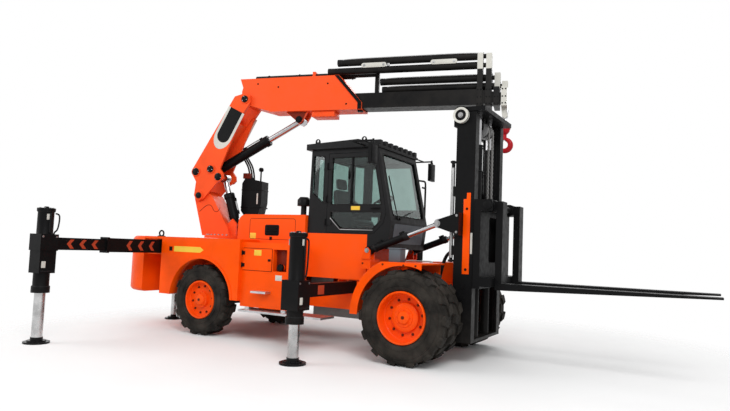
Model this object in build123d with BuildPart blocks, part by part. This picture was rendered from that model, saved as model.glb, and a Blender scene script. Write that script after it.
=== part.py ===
"""Crane forklift: a heavy counterbalance fork truck with a knuckle-boom crane on its tail.

Millimetres. +X is forward, +Y is the left side, +Z is up, z = 0 is the ground.
"""
import os
from math import atan2, cos, hypot, radians, sin

from build123d import *

os.makedirs("parts", exist_ok=True)

SIDES = (("left", 1), ("right", -1))

# Running fits and clearances
SEAT_GAP = 0.3
SLIDE_GAP = 6.0
SWING_GAP = 8.0

# Wheels
FRONT_AXLE_X = 1050.0
WHEELBASE = 3640.0
REAR_AXLE_X = FRONT_AXLE_X - WHEELBASE
FRONT_TYRE_R = 613.0
FRONT_TYRE_W = 315.0
FRONT_RIM_R = 340.0
FRONT_OUTER_FACE_Y = 1337.0
DUAL_SPACING = 350.0
REAR_TYRE_R = 557.0
REAR_TYRE_W = 290.0
REAR_RIM_R = 300.0
REAR_OUTER_FACE_Y = 1148.0
TYRE_SHOULDER_R = 55.0
TREAD_DEPTH = 26.0
TREAD_LUGS = 14
TREAD_LUG_L = 112.0
TREAD_SKEW = 18.0
TREAD_SHOULDER = 40.0
RIM_WALL = 26.0
DISC_T = 36.0
FRONT_DISH = 180.0
REAR_DISH = 95.0
SPINDLE_R = 95.0
HUB_R = 150.0

# Chassis frame
RAIL_Y = 430.0
RAIL_W = 140.0
RAIL_BOTTOM = 560.0
RAIL_TOP = 800.0
RAIL_STEP_X = 620.0
RAIL_STEP = 200.0
REAR_RAIL_STEP_X = -2080.0
REAR_RAIL_STEP = 170.0
RAIL_FRONT_X = 1300.0
RAIL_REAR_X = -3910.0
CROSS_W = 160.0

# Rear body, counterweight and hood
BODY_HALF_W = 1150.0
BODY_FRONT_X = -915.0
BODY_REAR_X = -3490.0
BODY_BOTTOM = 600.0
BODY_INNER_Y = 600.0
DECK_Z = 1540.0
DECK_T = 40.0
ARCH_R = 650.0
ARCH_RELIEF = 90.0
ARCH_LIP = 110.0
TANK_FRONT_X = BODY_FRONT_X
TANK_REAR_X = -1800.0
TANK_INSET = 70.0
TANK_HALF_W = BODY_HALF_W - TANK_INSET
TANK_BOTTOM = 520.0
FLANGE_W = 36.0
FLANGE_T = 12.0
TOOLBOX_X = (-1780.0, -1225.0)
TOOLBOX_Z = (1078.0, 1405.0)
TOOLBOX_T = 12.0
RECESS_X = (-1200.0, TANK_FRONT_X - 35.0)
RECESS_DEPTH = 90.0
FILLER_RISE = 60.0
FILLER_R = 42.0
FILLER_L = 62.0
WEIGHT_FRONT_X = RAIL_REAR_X
WEIGHT_CORNER_R = 640.0
WEIGHT_EDGE_R = 70.0
TAIL_LAMP_Y = 400.0
TAIL_LAMP_Z = 1290.0
TAIL_LAMP_W = 170.0
TAIL_LAMP_H = 90.0
TAIL_LAMP_DEPTH = 30.0
JACK_ROOF_T = 60.0
HOOD_REAR_X = -2250.0
HOOD_HALF_W = 700.0
HOOD_TOP = 1955.0
HOOD_WALL = 30.0
HOOD_REAR_R = 150.0
VENT_MID = (-1549.0, 1705.0)
VENT_W = 282.0
VENT_H = 172.0
VENT_CORNER_R = 30.0
VENT_DEPTH = 14.0
LOUVRES = 5
PRECLEANER_INSET = (180.0, 200.0)
PRECLEANER_STACK_R = 45.0
PRECLEANER_RISE = 150.0
PRECLEANER_R = 105.0
PRECLEANER_H = 95.0
PRECLEANER_DOME = 45.0
PRECLEANER_TAPER = 40.0

# Cab
CAB_REAR_X = -900.0
CAB_HALF_W = 650.0
CAB_WALL = 60.0
CAB_BASE_FRONT_X = 150.0
CAB_FLOOR = 1500.0
CAB_SILL = 1680.0
CAB_EAVES = 2960.0
CAB_FRONT_TOP_X = 290.0
CAB_NOSE_X = 530.0
CAB_NOSE_Z = 1880.0
ROOF_T = 130.0
ROOF_LIP = 45.0
GLASS_T = 8.0
DOOR_REAR_X = -560.0
DOOR_GAP = 6.0
DOOR_T = 50.0

# Outriggers
FOOT_STEPS = ((170.0, 25.0), (120.0, 17.0), (80.0, 43.0))  # radius, height
FOOT_H = sum(h for r, h in FOOT_STEPS)
REAR_BEAM_X = -3601.0
REAR_BEAM_PITCH = 190.0
REAR_BEAM_Z = 1370.0
REAR_BOX_INSET = 50.0
REAR_FOOT_Y = 3148.0
REAR_LEG_TOP = 1859.0
REAR_LEG_BOTTOM = 690.0
REAR_LEG_BOX_Z = (960.0, 1500.0)
REAR_STAGE_W = 150.0
BEAM_WALL = 14.0
BOX_WALL = 16.0
PAD_L = 90.0
PAD_T = SLIDE_GAP - SEAT_GAP
REAR_STAGE_H = 2 * (DECK_Z - DECK_T - REAR_BEAM_Z - BOX_WALL - SLIDE_GAP)
MID_BEAM_X = -78.0
MID_BEAM_PITCH = 170.0
MID_FOOT_Y = 2038.0
MID_LEG_TOP = 1641.0
MID_LEG_BOTTOM = 500.0
MID_LEG_BOX_Z = (672.0, 1046.0)
MID_BEAM_W = 130.0
MID_BEAM_H = 170.0
MID_BEAM_Z = RAIL_TOP + BOX_WALL + SLIDE_GAP + MID_BEAM_H / 2
LEG_W = 260.0
LEG_COLLAR = 14.0
LEG_COLLAR_H = 80.0
LEG_CAP_T = 40.0
LEG_BOX_STEP = 12.0
LEG_ROD_HOLD = 340.0
LEG_TUBE_R = 105.0
LEG_ROD_R = 72.0
JACK_X = -4330.0
JACK_ROD_R = 54.0

# Mast and forks
MAST_PIVOT_X = 1390.0
MAST_PIVOT_Z = 600.0
MAST_REAR_X = 1480.0
MAST_FRONT_X = 1750.0
MAST_BOTTOM = 285.0
MAST_TOP = 3450.0
OUTER_RAIL_Y = 640.0
OUTER_RAIL_T = 140.0
INNER_RAIL_T = 90.0
RAIL_WEB = 36.0
RAIL_GAP = 6.0
LIFT_CYL_Y = 235.0
LIFT_CYL_R = 62.0
LIFT_ROD_R = 42.0
CHAIN_Y = 90.0
CHAIN_W = 50.0
CHAIN_T = 26.0
CHAIN_LINKS = 18
CHAIN_WAIST = 6.0
SHEAVE_R = 85.0
CARRIAGE_BOTTOM = 1010.0
CARRIAGE_TOP = 2190.0
CARRIAGE_HALF_W = 690.0
CARRIAGE_T = 90.0
CARRIAGE_CORNER_R = 120.0
CARRIAGE_WINDOW = 620.0
CARRIAGE_WINDOW_RISE = 60.0
FORK_Y = 429.0
FORK_W = 200.0
FORK_T = 90.0
FORK_TIP_T = 22.0
FORK_HEEL_X = 2109.0
FORK_LENGTH = 2491.0
FORK_TIP_X = FORK_HEEL_X + FORK_LENGTH
TAIL_X = -FORK_TIP_X
TILT_Y = 740.0
TILT_BASE_X = 250.0
TILT_BASE_Z = 1450.0
TILT_EYE_X = 1300.0
TILT_EYE_Z = 1850.0
TILT_BARREL_R = 52.0
TILT_ROD_R = 34.0
TILT_PIN_R = 28.0
TILT_EYE_W = 80.0

# Crane: radial distance from the slew axis, height above ground, width across the boom
CRANE_X = -3190.0
SLEW_REST = 13.0
BASE_R = 340.0
COLUMN_HALF_W = 205.0
LUFF_PIN = (-400.0, 2310.0)
LIFT_BASE = (230.0, 1830.0)
LIFT_EYE = (-30.0, 2650.0)
KNUCKLE_PIN = (420.0, 4050.0)
FOLD_BASE = (-190.0, 2790.0)
FOLD_EYE = (1420.0, 3690.0)
PIN_R = 50.0
PIN_PROUD = 8.0
BOSS_R = 84.0
BOSS_T = 14.0
REAR_BOSS = (-490.0, 2740.0)
BOOM_PLATE = 42.0
INNER_HALF_W = 255.0
OUTER_HALF_W = 185.0
OUTER_TOP = 4440.0
OUTER_BOTTOM = 3830.0
OUTER_FRONT_R = 2580.0
OUTER_WALL = 20.0
FRONT_RAKE = 430.0
FRONT_LIP = 120.0
COLLAR_W = 75.0
COLLAR_T = 14.0
KNUCKLE_ROOM_R = 445.0
STAGE_TOP = 4115.0
STAGE_REAR_R = 960.0
STAGE_WALL = 12.0
CAVITY_REAR = 30.0
HOOK_PIN = (4950.0, 3690.0)

boom_angle = radians(SLEW_REST)
BOOM = Plane(
    origin=(CRANE_X, 0, 0),
    x_dir=(cos(boom_angle), sin(boom_angle), 0),
    z_dir=(sin(boom_angle), -cos(boom_angle), 0),
)


def side_plane(y):
    """Upright plane seen from the right-hand side: its x is forward, its y is up."""
    return Plane.XZ.offset(-y)


def write(part, name):
    part.label = name
    export_step(part, f"parts/{name}.step")


# Chassis frame: two stepped rails, cross members, outrigger boxes and the crane pedestal
rear_box_rear_x = REAR_BEAM_X - REAR_BEAM_PITCH - REAR_STAGE_W / 2 - SLIDE_GAP - BOX_WALL
rear_box_front_x = REAR_BEAM_X + REAR_STAGE_W / 2 + SLIDE_GAP + BOX_WALL
rear_box_h = REAR_STAGE_H + 2 * (SLIDE_GAP + BOX_WALL)
mid_box_rear_x = MID_BEAM_X - MID_BEAM_PITCH - MID_BEAM_W / 2 - SLIDE_GAP - BOX_WALL
mid_box_front_x = MID_BEAM_X + MID_BEAM_W / 2 + SLIDE_GAP + BOX_WALL
mid_box_h = MID_BEAM_H + 2 * (SLIDE_GAP + BOX_WALL)
mid_box_half = 620.0
rear_box_half = BODY_HALF_W - REAR_BOX_INSET
pedestal_w = 560.0
front_rail_top = RAIL_TOP + RAIL_STEP
front_rail_bottom = RAIL_BOTTOM + RAIL_STEP
rear_rail_top = RAIL_TOP + REAR_RAIL_STEP
rear_rail_bottom = RAIL_BOTTOM + REAR_RAIL_STEP
rail_h = RAIL_TOP - RAIL_BOTTOM
CROSS_MEMBERS = (  # place along X, underside
    (RAIL_STEP_X + CROSS_W / 2, front_rail_bottom),
    (-1995.0, RAIL_BOTTOM),
    (REAR_AXLE_X, rear_rail_bottom),
)
tilt_tower_x = (160.0, 300.0)
tilt_arm_z = (1190.0, 1330.0)

with BuildPart() as chassis_frame:
    for name, sign in SIDES:
        with BuildSketch(side_plane(sign * RAIL_Y)):
            with BuildLine():
                Polyline(
                    (RAIL_REAR_X, rear_rail_bottom),
                    (REAR_RAIL_STEP_X - REAR_RAIL_STEP, rear_rail_bottom),
                    (REAR_RAIL_STEP_X, RAIL_BOTTOM),
                    (RAIL_STEP_X - RAIL_STEP, RAIL_BOTTOM),
                    (RAIL_STEP_X, front_rail_bottom),
                    (RAIL_FRONT_X, front_rail_bottom),
                    (RAIL_FRONT_X, front_rail_top),
                    (RAIL_STEP_X, front_rail_top),
                    (RAIL_STEP_X - RAIL_STEP, RAIL_TOP),
                    (REAR_RAIL_STEP_X, RAIL_TOP),
                    (REAR_RAIL_STEP_X - REAR_RAIL_STEP, rear_rail_top),
                    (RAIL_REAR_X, rear_rail_top),
                    close=True,
                )
            make_face()
        extrude(amount=RAIL_W / 2, both=True)
        # Mast pivot bracket with its pin at the front of each rail
        with BuildSketch(side_plane(sign * RAIL_Y)):
            with BuildLine():
                Polyline(
                    (RAIL_FRONT_X - 90, front_rail_bottom),
                    (MAST_PIVOT_X - 70, MAST_PIVOT_Z - 40),
                    (MAST_PIVOT_X, MAST_PIVOT_Z - 65),
                    (MAST_PIVOT_X + 65, MAST_PIVOT_Z),
                    (RAIL_FRONT_X + 60, front_rail_bottom + 40),
                    (RAIL_FRONT_X, front_rail_top),
                    (RAIL_FRONT_X - 90, front_rail_top),
                    close=True,
                )
            make_face()
        extrude(amount=35, both=True)
        with BuildSketch(side_plane(sign * RAIL_Y)):
            with Locations((MAST_PIVOT_X, MAST_PIVOT_Z)):
                Circle(40)
        extrude(amount=sign * -140)
        # Tilt cylinder tower
        with Locations((sum(tilt_tower_x) / 2, sign * 570, (RAIL_TOP + tilt_arm_z[1]) / 2)):
            Box(tilt_tower_x[1] - tilt_tower_x[0], 140, tilt_arm_z[1] - RAIL_TOP)
        with Locations((sum(tilt_tower_x) / 2, sign * 465, RAIL_TOP + 60)):
            Box(tilt_tower_x[1] - tilt_tower_x[0], 210, 120)
        with Locations((sum(tilt_tower_x) / 2, sign * 700, sum(tilt_arm_z) / 2)):
            Box(tilt_tower_x[1] - tilt_tower_x[0], 200, tilt_arm_z[1] - tilt_arm_z[0])
        for lug_y in (TILT_Y - TILT_EYE_W / 2 - 25, TILT_Y + TILT_EYE_W / 2 + 25):
            with BuildSketch(side_plane(sign * lug_y)):
                with BuildLine():
                    Polyline(
                        (tilt_tower_x[0], tilt_arm_z[1]),
                        (tilt_tower_x[1], tilt_arm_z[1]),
                        (TILT_BASE_X + 45, TILT_BASE_Z),
                        (TILT_BASE_X, TILT_BASE_Z + 45),
                        (TILT_BASE_X - 45, TILT_BASE_Z),
                        close=True,
                    )
                make_face()
            extrude(amount=15, both=True)
        with BuildSketch(side_plane(sign * TILT_Y)):
            with Locations((TILT_BASE_X, TILT_BASE_Z)):
                Circle(TILT_PIN_R)
        extrude(amount=TILT_EYE_W / 2 + 40, both=True)
    # Cross members
    for x, low in CROSS_MEMBERS:
        with Locations((x, 0, low + rail_h / 2)):
            Box(CROSS_W, 2 * RAIL_Y, rail_h)
    # Crane pedestal on the rails
    with Locations((CRANE_X, 0, (rear_rail_top + DECK_Z - DECK_T) / 2)):
        Box(pedestal_w, 2 * RAIL_Y + RAIL_W, DECK_Z - DECK_T - rear_rail_top)
    with BuildSketch(Plane.XY.offset(DECK_Z - DECK_T)):
        with Locations((CRANE_X, 0)):
            Circle(BASE_R - 30)
    extrude(amount=DECK_T + 5)
    # Rear outrigger box, carried on the rails by a web
    with Locations(((rear_box_front_x + rear_box_rear_x) / 2, 0, REAR_BEAM_Z)):
        Box(rear_box_front_x - rear_box_rear_x, 2 * rear_box_half, rear_box_h)
    with Locations((REAR_BEAM_X - REAR_BEAM_PITCH / 2, 0, (rear_rail_top + REAR_BEAM_Z) / 2)):
        Box(200, 2 * RAIL_Y + RAIL_W, REAR_BEAM_Z - rear_rail_top)
    # Mid outrigger box
    with Locations(((mid_box_front_x + mid_box_rear_x) / 2, 0, MID_BEAM_Z)):
        Box(mid_box_front_x - mid_box_rear_x, 2 * mid_box_half, mid_box_h)
    for lead in (0, 1):
        with Locations((REAR_BEAM_X - lead * REAR_BEAM_PITCH, 0, REAR_BEAM_Z)):
            Box(
                REAR_STAGE_W + 2 * SLIDE_GAP,
                2 * rear_box_half,
                REAR_STAGE_H + 2 * SLIDE_GAP,
                mode=Mode.SUBTRACT,
            )
        with Locations((MID_BEAM_X - lead * MID_BEAM_PITCH, 0, MID_BEAM_Z)):
            Box(
                MID_BEAM_W + 2 * SLIDE_GAP,
                2 * mid_box_half,
                MID_BEAM_H + 2 * SLIDE_GAP,
                mode=Mode.SUBTRACT,
            )
    # Wear pads under the beams at the mouths of their boxes
    for name, sign in SIDES:
        lead = 1 if sign > 0 else 0
        with Locations((REAR_BEAM_X - lead * REAR_BEAM_PITCH, sign * (rear_box_half - PAD_L / 2),
                        REAR_BEAM_Z - REAR_STAGE_H / 2 - SLIDE_GAP + PAD_T / 2)):
            Box(REAR_STAGE_W, PAD_L, PAD_T)
        with Locations((MID_BEAM_X - lead * MID_BEAM_PITCH, sign * (mid_box_half - PAD_L / 2),
                        MID_BEAM_Z - MID_BEAM_H / 2 - SLIDE_GAP + PAD_T / 2)):
            Box(MID_BEAM_W, PAD_L, PAD_T)
write(chassis_frame.part, "chassis_frame")

# Counterweight: a round-cornered casting that closes the tail, bored for the rear jack
with BuildPart() as counterweight:
    with BuildSketch(Plane.XY.offset(BODY_BOTTOM)):
        with Locations(((TAIL_X + WEIGHT_FRONT_X) / 2, 0)):
            Rectangle(WEIGHT_FRONT_X - TAIL_X, 2 * BODY_HALF_W)
        corners = vertices().group_by(Axis.X)[0]
        fillet(corners, radius=WEIGHT_CORNER_R)
    extrude(amount=DECK_Z - BODY_BOTTOM)
    rim_edges = edges().group_by(Axis.Z)[-1] + edges().group_by(Axis.Z)[0]
    rim_edges = [e for e in rim_edges if e.center().X < WEIGHT_FRONT_X - 10]
    fillet(rim_edges, radius=WEIGHT_EDGE_R)
    with BuildSketch(Plane.XY.offset(BODY_BOTTOM)):
        with Locations((JACK_X, 0)):
            Circle(JACK_ROD_R + SEAT_GAP)
    extrude(amount=DECK_Z - BODY_BOTTOM - JACK_ROOF_T, mode=Mode.SUBTRACT)
    # Pockets for the tail lamps
    for name, sign in SIDES:
        with Locations((TAIL_X, sign * TAIL_LAMP_Y, TAIL_LAMP_Z)):
            Box(2 * TAIL_LAMP_DEPTH, TAIL_LAMP_W, TAIL_LAMP_H, mode=Mode.SUBTRACT)
write(counterweight.part, "counterweight")

# Rear body: wheel-arch fenders, side tanks and the deck round the crane pedestal
with BuildPart() as rear_body:
    for name, sign in SIDES:
        with BuildSketch(side_plane(sign * BODY_INNER_Y)):
            with BuildLine():
                Polyline(
                    (BODY_REAR_X, BODY_BOTTOM),
                    (TANK_REAR_X, BODY_BOTTOM),
                    (TANK_REAR_X, DECK_Z - DECK_T),
                    (BODY_REAR_X, DECK_Z - DECK_T),
                    close=True,
                )
            make_face()
            with Locations((REAR_AXLE_X, REAR_TYRE_R)):
                Circle(ARCH_R, mode=Mode.SUBTRACT)
        extrude(amount=-sign * (BODY_HALF_W - BODY_INNER_Y))
        # Room behind the arch's lip for the steered wheel
        with BuildSketch(side_plane(sign * BODY_INNER_Y)):
            with Locations((REAR_AXLE_X, REAR_TYRE_R)):
                Circle(ARCH_R + ARCH_RELIEF)
        extrude(amount=-sign * (BODY_HALF_W - ARCH_LIP - BODY_INNER_Y), mode=Mode.SUBTRACT)
        with BuildSketch(side_plane(sign * BODY_INNER_Y)):
            with BuildLine():
                Polyline(
                    (TANK_REAR_X, TANK_BOTTOM),
                    (TANK_FRONT_X, TANK_BOTTOM),
                    (TANK_FRONT_X, DECK_Z - DECK_T),
                    (TANK_REAR_X, DECK_Z - DECK_T),
                    close=True,
                )
            make_face()
        extrude(amount=-sign * (TANK_HALF_W - BODY_INNER_Y))
        # Flange round the wheel arch
        with BuildSketch(side_plane(sign * BODY_HALF_W)):
            with Locations((REAR_AXLE_X, REAR_TYRE_R)):
                Circle(ARCH_R + FLANGE_W)
            with Locations((REAR_AXLE_X, BODY_BOTTOM + ARCH_R)):
                Rectangle(4 * ARCH_R, 2 * ARCH_R, mode=Mode.INTERSECT)
            with Locations((REAR_AXLE_X, REAR_TYRE_R)):
                Circle(ARCH_R, mode=Mode.SUBTRACT)
        extrude(amount=-sign * FLANGE_T)
        # Toolbox door and the filler recess with its cap
        with Locations((sum(TOOLBOX_X) / 2, sign * TANK_HALF_W, sum(TOOLBOX_Z) / 2)):
            Box(TOOLBOX_X[1] - TOOLBOX_X[0], 2 * TOOLBOX_T, TOOLBOX_Z[1] - TOOLBOX_Z[0])
        with Locations((sum(RECESS_X) / 2, sign * TANK_HALF_W, sum(TOOLBOX_Z) / 2)):
            Box(
                RECESS_X[1] - RECESS_X[0],
                2 * RECESS_DEPTH,
                TOOLBOX_Z[1] - TOOLBOX_Z[0],
                mode=Mode.SUBTRACT,
            )
        with BuildSketch(side_plane(sign * (TANK_HALF_W - RECESS_DEPTH))):
            with Locations((sum(RECESS_X) / 2, TOOLBOX_Z[0] + FILLER_RISE)):
                Circle(FILLER_R)
        extrude(amount=-sign * FILLER_L)
    with BuildSketch(Plane.XY.offset(DECK_Z - DECK_T)):
        with Locations(((WEIGHT_FRONT_X + HOOD_REAR_X) / 2, 0)):
            Rectangle(HOOD_REAR_X - WEIGHT_FRONT_X, 2 * BODY_HALF_W)
        with Locations((CRANE_X, 0)):
            Circle(BASE_R - 30, mode=Mode.SUBTRACT)
    extrude(amount=DECK_T)
    for name, sign in SIDES:
        with Locations(((HOOD_REAR_X + TANK_REAR_X) / 2, sign * (HOOD_HALF_W + BODY_HALF_W) / 2,
                        DECK_Z - DECK_T / 2)):
            Box(TANK_REAR_X - HOOD_REAR_X, BODY_HALF_W - HOOD_HALF_W, DECK_T)
write(rear_body.part, "rear_body")

# Hood: a thin open-bottomed cover over the engine with a rounded rear edge and louvred vents
precleaner = (BODY_FRONT_X - PRECLEANER_INSET[0], -HOOD_HALF_W + PRECLEANER_INSET[1])
with BuildPart() as hood:
    with BuildSketch(side_plane(0)):
        with Locations(((HOOD_REAR_X + BODY_FRONT_X) / 2, (DECK_Z - DECK_T + HOOD_TOP) / 2)):
            Rectangle(BODY_FRONT_X - HOOD_REAR_X, HOOD_TOP - DECK_Z + DECK_T)
        rear_corner = vertices().group_by(Axis.Y)[-1].sort_by(Axis.X)[0]
        fillet(rear_corner, radius=HOOD_REAR_R)
    extrude(amount=HOOD_HALF_W, both=True)
    offset(amount=-HOOD_WALL, openings=faces().sort_by(Axis.Z)[0])
    for name, sign in SIDES:
        with BuildSketch(side_plane(sign * HOOD_HALF_W)):
            with Locations(VENT_MID):
                RectangleRounded(VENT_W, VENT_H, VENT_CORNER_R)
        extrude(amount=sign * VENT_DEPTH, mode=Mode.SUBTRACT)
        with BuildSketch(side_plane(sign * (HOOD_HALF_W - VENT_DEPTH))):
            with Locations(VENT_MID):
                with GridLocations(0, VENT_H / LOUVRES, 1, LOUVRES):
                    Rectangle(VENT_W - 2 * VENT_CORNER_R, VENT_H / LOUVRES / 2)
        extrude(amount=-sign * VENT_DEPTH)
    # Air pre-cleaner: a stack, a bowl and a domed cap
    with BuildSketch(Plane.XY.offset(HOOD_TOP)):
        with Locations(precleaner):
            Circle(PRECLEANER_STACK_R)
    extrude(amount=PRECLEANER_RISE)
    with BuildSketch(Plane.XY.offset(HOOD_TOP + PRECLEANER_RISE)):
        with Locations(precleaner):
            Circle(PRECLEANER_R)
    extrude(amount=PRECLEANER_H)
    with BuildSketch(Plane.XY.offset(HOOD_TOP + PRECLEANER_RISE + PRECLEANER_H)):
        with Locations(precleaner):
            Circle(PRECLEANER_R)
    extrude(amount=PRECLEANER_DOME, taper=PRECLEANER_TAPER)
write(hood.part, "hood")

# Engine with its transmission: one plain block between the rails
ENGINE_X = (-1900.0, -1000.0)
ENGINE_Z = (670.0, 1570.0)
ENGINE_HALF_W = 330.0
GEARBOX_FRONT_X = 600.0
GEARBOX_Z = (400.0, 790.0)
GEARBOX_HALF_W = 240.0
with BuildPart() as engine_block:
    with Locations((sum(ENGINE_X) / 2, 0, sum(ENGINE_Z) / 2)):
        Box(ENGINE_X[1] - ENGINE_X[0], 2 * ENGINE_HALF_W, ENGINE_Z[1] - ENGINE_Z[0])
    for x in (ENGINE_X[0] + 120, ENGINE_X[1] - 120):
        with Locations((x, 0, RAIL_TOP + 40)):
            Box(120, 2 * RAIL_Y, 80)
    with Locations(((ENGINE_X[1] + GEARBOX_FRONT_X) / 2, 0, sum(GEARBOX_Z) / 2)):
        Box(GEARBOX_FRONT_X - ENGINE_X[1], 2 * GEARBOX_HALF_W, GEARBOX_Z[1] - GEARBOX_Z[0])
write(engine_block.part, "engine_block")

# Running boards under the tanks, each with a step halfway up the tank
BOARD_X = (-1720.0, -230.0)
BOARD_Y = (TANK_HALF_W - 230.0, TANK_HALF_W + 130.0)
BOARD_Z = (455.0, 485.0)
STEP_X = (-1500.0, -1220.0)
STEP_Z = 760.0
with BuildPart() as running_boards:
    for name, sign in SIDES:
        with Locations((sum(BOARD_X) / 2, sign * sum(BOARD_Y) / 2, sum(BOARD_Z) / 2)):
            Box(BOARD_X[1] - BOARD_X[0], BOARD_Y[1] - BOARD_Y[0], BOARD_Z[1] - BOARD_Z[0])
        for x in (BOARD_X[0] + 60, TANK_FRONT_X - 60):
            with Locations((x, sign * (TANK_HALF_W - 60), (BOARD_Z[1] + TANK_BOTTOM) / 2)):
                Box(80, 120, TANK_BOTTOM - BOARD_Z[1])
        with Locations((sum(STEP_X) / 2, sign * (TANK_HALF_W + BOARD_Y[1]) / 2, STEP_Z)):
            Box(STEP_X[1] - STEP_X[0], BOARD_Y[1] - TANK_HALF_W, 30)
write(running_boards.part, "running_boards")

# Front fenders: rolled sheets over the twin wheels with an outer skirt, standing on the rails
FENDER_TOP = 1315.0
FENDER_T = 25.0
FENDER_Y = (480.0, 1290.0)
FENDER_R = 775.0
FENDER_SKIRT_T = 20.0
FENDER_SKIRT_R = 660.0
FENDER_PLATE_X = (740.0, 1240.0)
FENDER_PLATE_T = 20.0
FENDER_ROOM_X = (150.0, 510.0)
FENDER_ROOM_Y = (350.0, 650.0)
FENDER_ROOM_Z = (520.0, 1280.0)
fender_mid_x = FRONT_AXLE_X - FENDER_R + (RAIL_FRONT_X - FRONT_AXLE_X + FENDER_R) / 2
fender_len = RAIL_FRONT_X - FRONT_AXLE_X + FENDER_R
fender_h = FENDER_TOP - BODY_BOTTOM
fender_w = FENDER_Y[1] - FENDER_Y[0]
with BuildPart() as front_fenders:
    for name, sign in SIDES:
        with BuildSketch(side_plane(sign * FENDER_Y[0])):
            with Locations((FRONT_AXLE_X, FRONT_TYRE_R)):
                Circle(FENDER_R)
            with Locations((fender_mid_x, BODY_BOTTOM + fender_h / 2)):
                Rectangle(fender_len, fender_h, mode=Mode.INTERSECT)
        extrude(amount=-sign * fender_w)
        with BuildSketch(side_plane(sign * FENDER_Y[0])):
            with Locations((FRONT_AXLE_X, FRONT_TYRE_R)):
                Circle(FENDER_R - FENDER_T)
            with Locations((fender_mid_x, BODY_BOTTOM + fender_h / 2 - FENDER_T)):
                Rectangle(2 * fender_len, fender_h, mode=Mode.INTERSECT)
        extrude(amount=-sign * (fender_w - FENDER_SKIRT_T), mode=Mode.SUBTRACT)
        with BuildSketch(side_plane(sign * FENDER_Y[0])):
            with Locations((FRONT_AXLE_X, FRONT_TYRE_R)):
                Circle(FENDER_SKIRT_R)
        extrude(amount=-sign * fender_w, mode=Mode.SUBTRACT)
        with Locations((sum(FENDER_PLATE_X) / 2, sign * (FENDER_Y[0] + FENDER_PLATE_T / 2),
                        (front_rail_top + FENDER_TOP - FENDER_T) / 2)):
            Box(
                FENDER_PLATE_X[1] - FENDER_PLATE_X[0],
                FENDER_PLATE_T,
                FENDER_TOP - FENDER_T - front_rail_top,
            )
        # Room for the tilt cylinder tower and the rail beside the rolled tail
        with Locations((sum(FENDER_ROOM_X) / 2, sign * sum(FENDER_ROOM_Y) / 2, sum(FENDER_ROOM_Z) / 2)):
            Box(
                FENDER_ROOM_X[1] - FENDER_ROOM_X[0],
                FENDER_ROOM_Y[1] - FENDER_ROOM_Y[0],
                FENDER_ROOM_Z[1] - FENDER_ROOM_Z[0],
                mode=Mode.SUBTRACT,
            )
write(front_fenders.part, "front_fenders")

# Cab base: the orange footing with the floor, the sills and the steering console
CAB_BASE_BOTTOM = MID_BEAM_Z + mid_box_h / 2
CAB_SHEET = 40.0
CONSOLE_X = (40.0, 140.0)
CONSOLE_W = 260.0
CONSOLE_H = 640.0
WHEEL_RIM_R = 185.0
WHEEL_RIM_T = 24.0
WHEEL_RISE = 700.0
WHEEL_RAKE = 30.0
WHEEL_SPOKE_W = 30.0
WHEEL_BOSS_R = 45.0
WHEEL_POST_R = 25.0
WHEEL_POST_L = 140.0
wheel_rake = radians(WHEEL_RAKE)
with BuildPart() as cab_base:
    base_mid_x = (CAB_REAR_X + CAB_BASE_FRONT_X) / 2
    base_len = CAB_BASE_FRONT_X - CAB_REAR_X
    with Locations((base_mid_x, 0, (CAB_BASE_BOTTOM + CAB_SILL) / 2)):
        Box(base_len, 2 * CAB_HALF_W, CAB_SILL - CAB_BASE_BOTTOM)
    with Locations((base_mid_x, 0, (CAB_BASE_BOTTOM + CAB_FLOOR - CAB_SHEET) / 2)):
        Box(
            base_len - 2 * CAB_SHEET,
            2 * (CAB_HALF_W - CAB_SHEET),
            CAB_FLOOR - CAB_SHEET - CAB_BASE_BOTTOM,
            mode=Mode.SUBTRACT,
        )
    with Locations((base_mid_x + CAB_SHEET / 2, 0, (CAB_FLOOR + CAB_SILL) / 2)):
        Box(base_len - CAB_SHEET, 2 * (CAB_HALF_W - CAB_SHEET), CAB_SILL - CAB_FLOOR, mode=Mode.SUBTRACT)
    with Locations((sum(CONSOLE_X) / 2, 0, CAB_FLOOR + CONSOLE_H / 2)):
        Box(CONSOLE_X[1] - CONSOLE_X[0], CONSOLE_W, CONSOLE_H)
    wheel_plane = Plane(
        origin=(CONSOLE_X[0], 0, CAB_FLOOR + WHEEL_RISE),
        x_dir=(0, 1, 0),
        z_dir=(-sin(wheel_rake), 0, cos(wheel_rake)),
    )
    with BuildSketch(wheel_plane):
        Circle(WHEEL_RIM_R)
        Circle(WHEEL_RIM_R - WHEEL_RIM_T, mode=Mode.SUBTRACT)
        Rectangle(2 * WHEEL_RIM_R - WHEEL_RIM_T, WHEEL_SPOKE_W)
        Circle(WHEEL_BOSS_R)
    extrude(amount=WHEEL_RIM_T / 2, both=True)
    with BuildSketch(wheel_plane):
        Circle(WHEEL_POST_R)
    extrude(amount=-WHEEL_POST_L)
write(cab_base.part, "cab_base")

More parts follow.
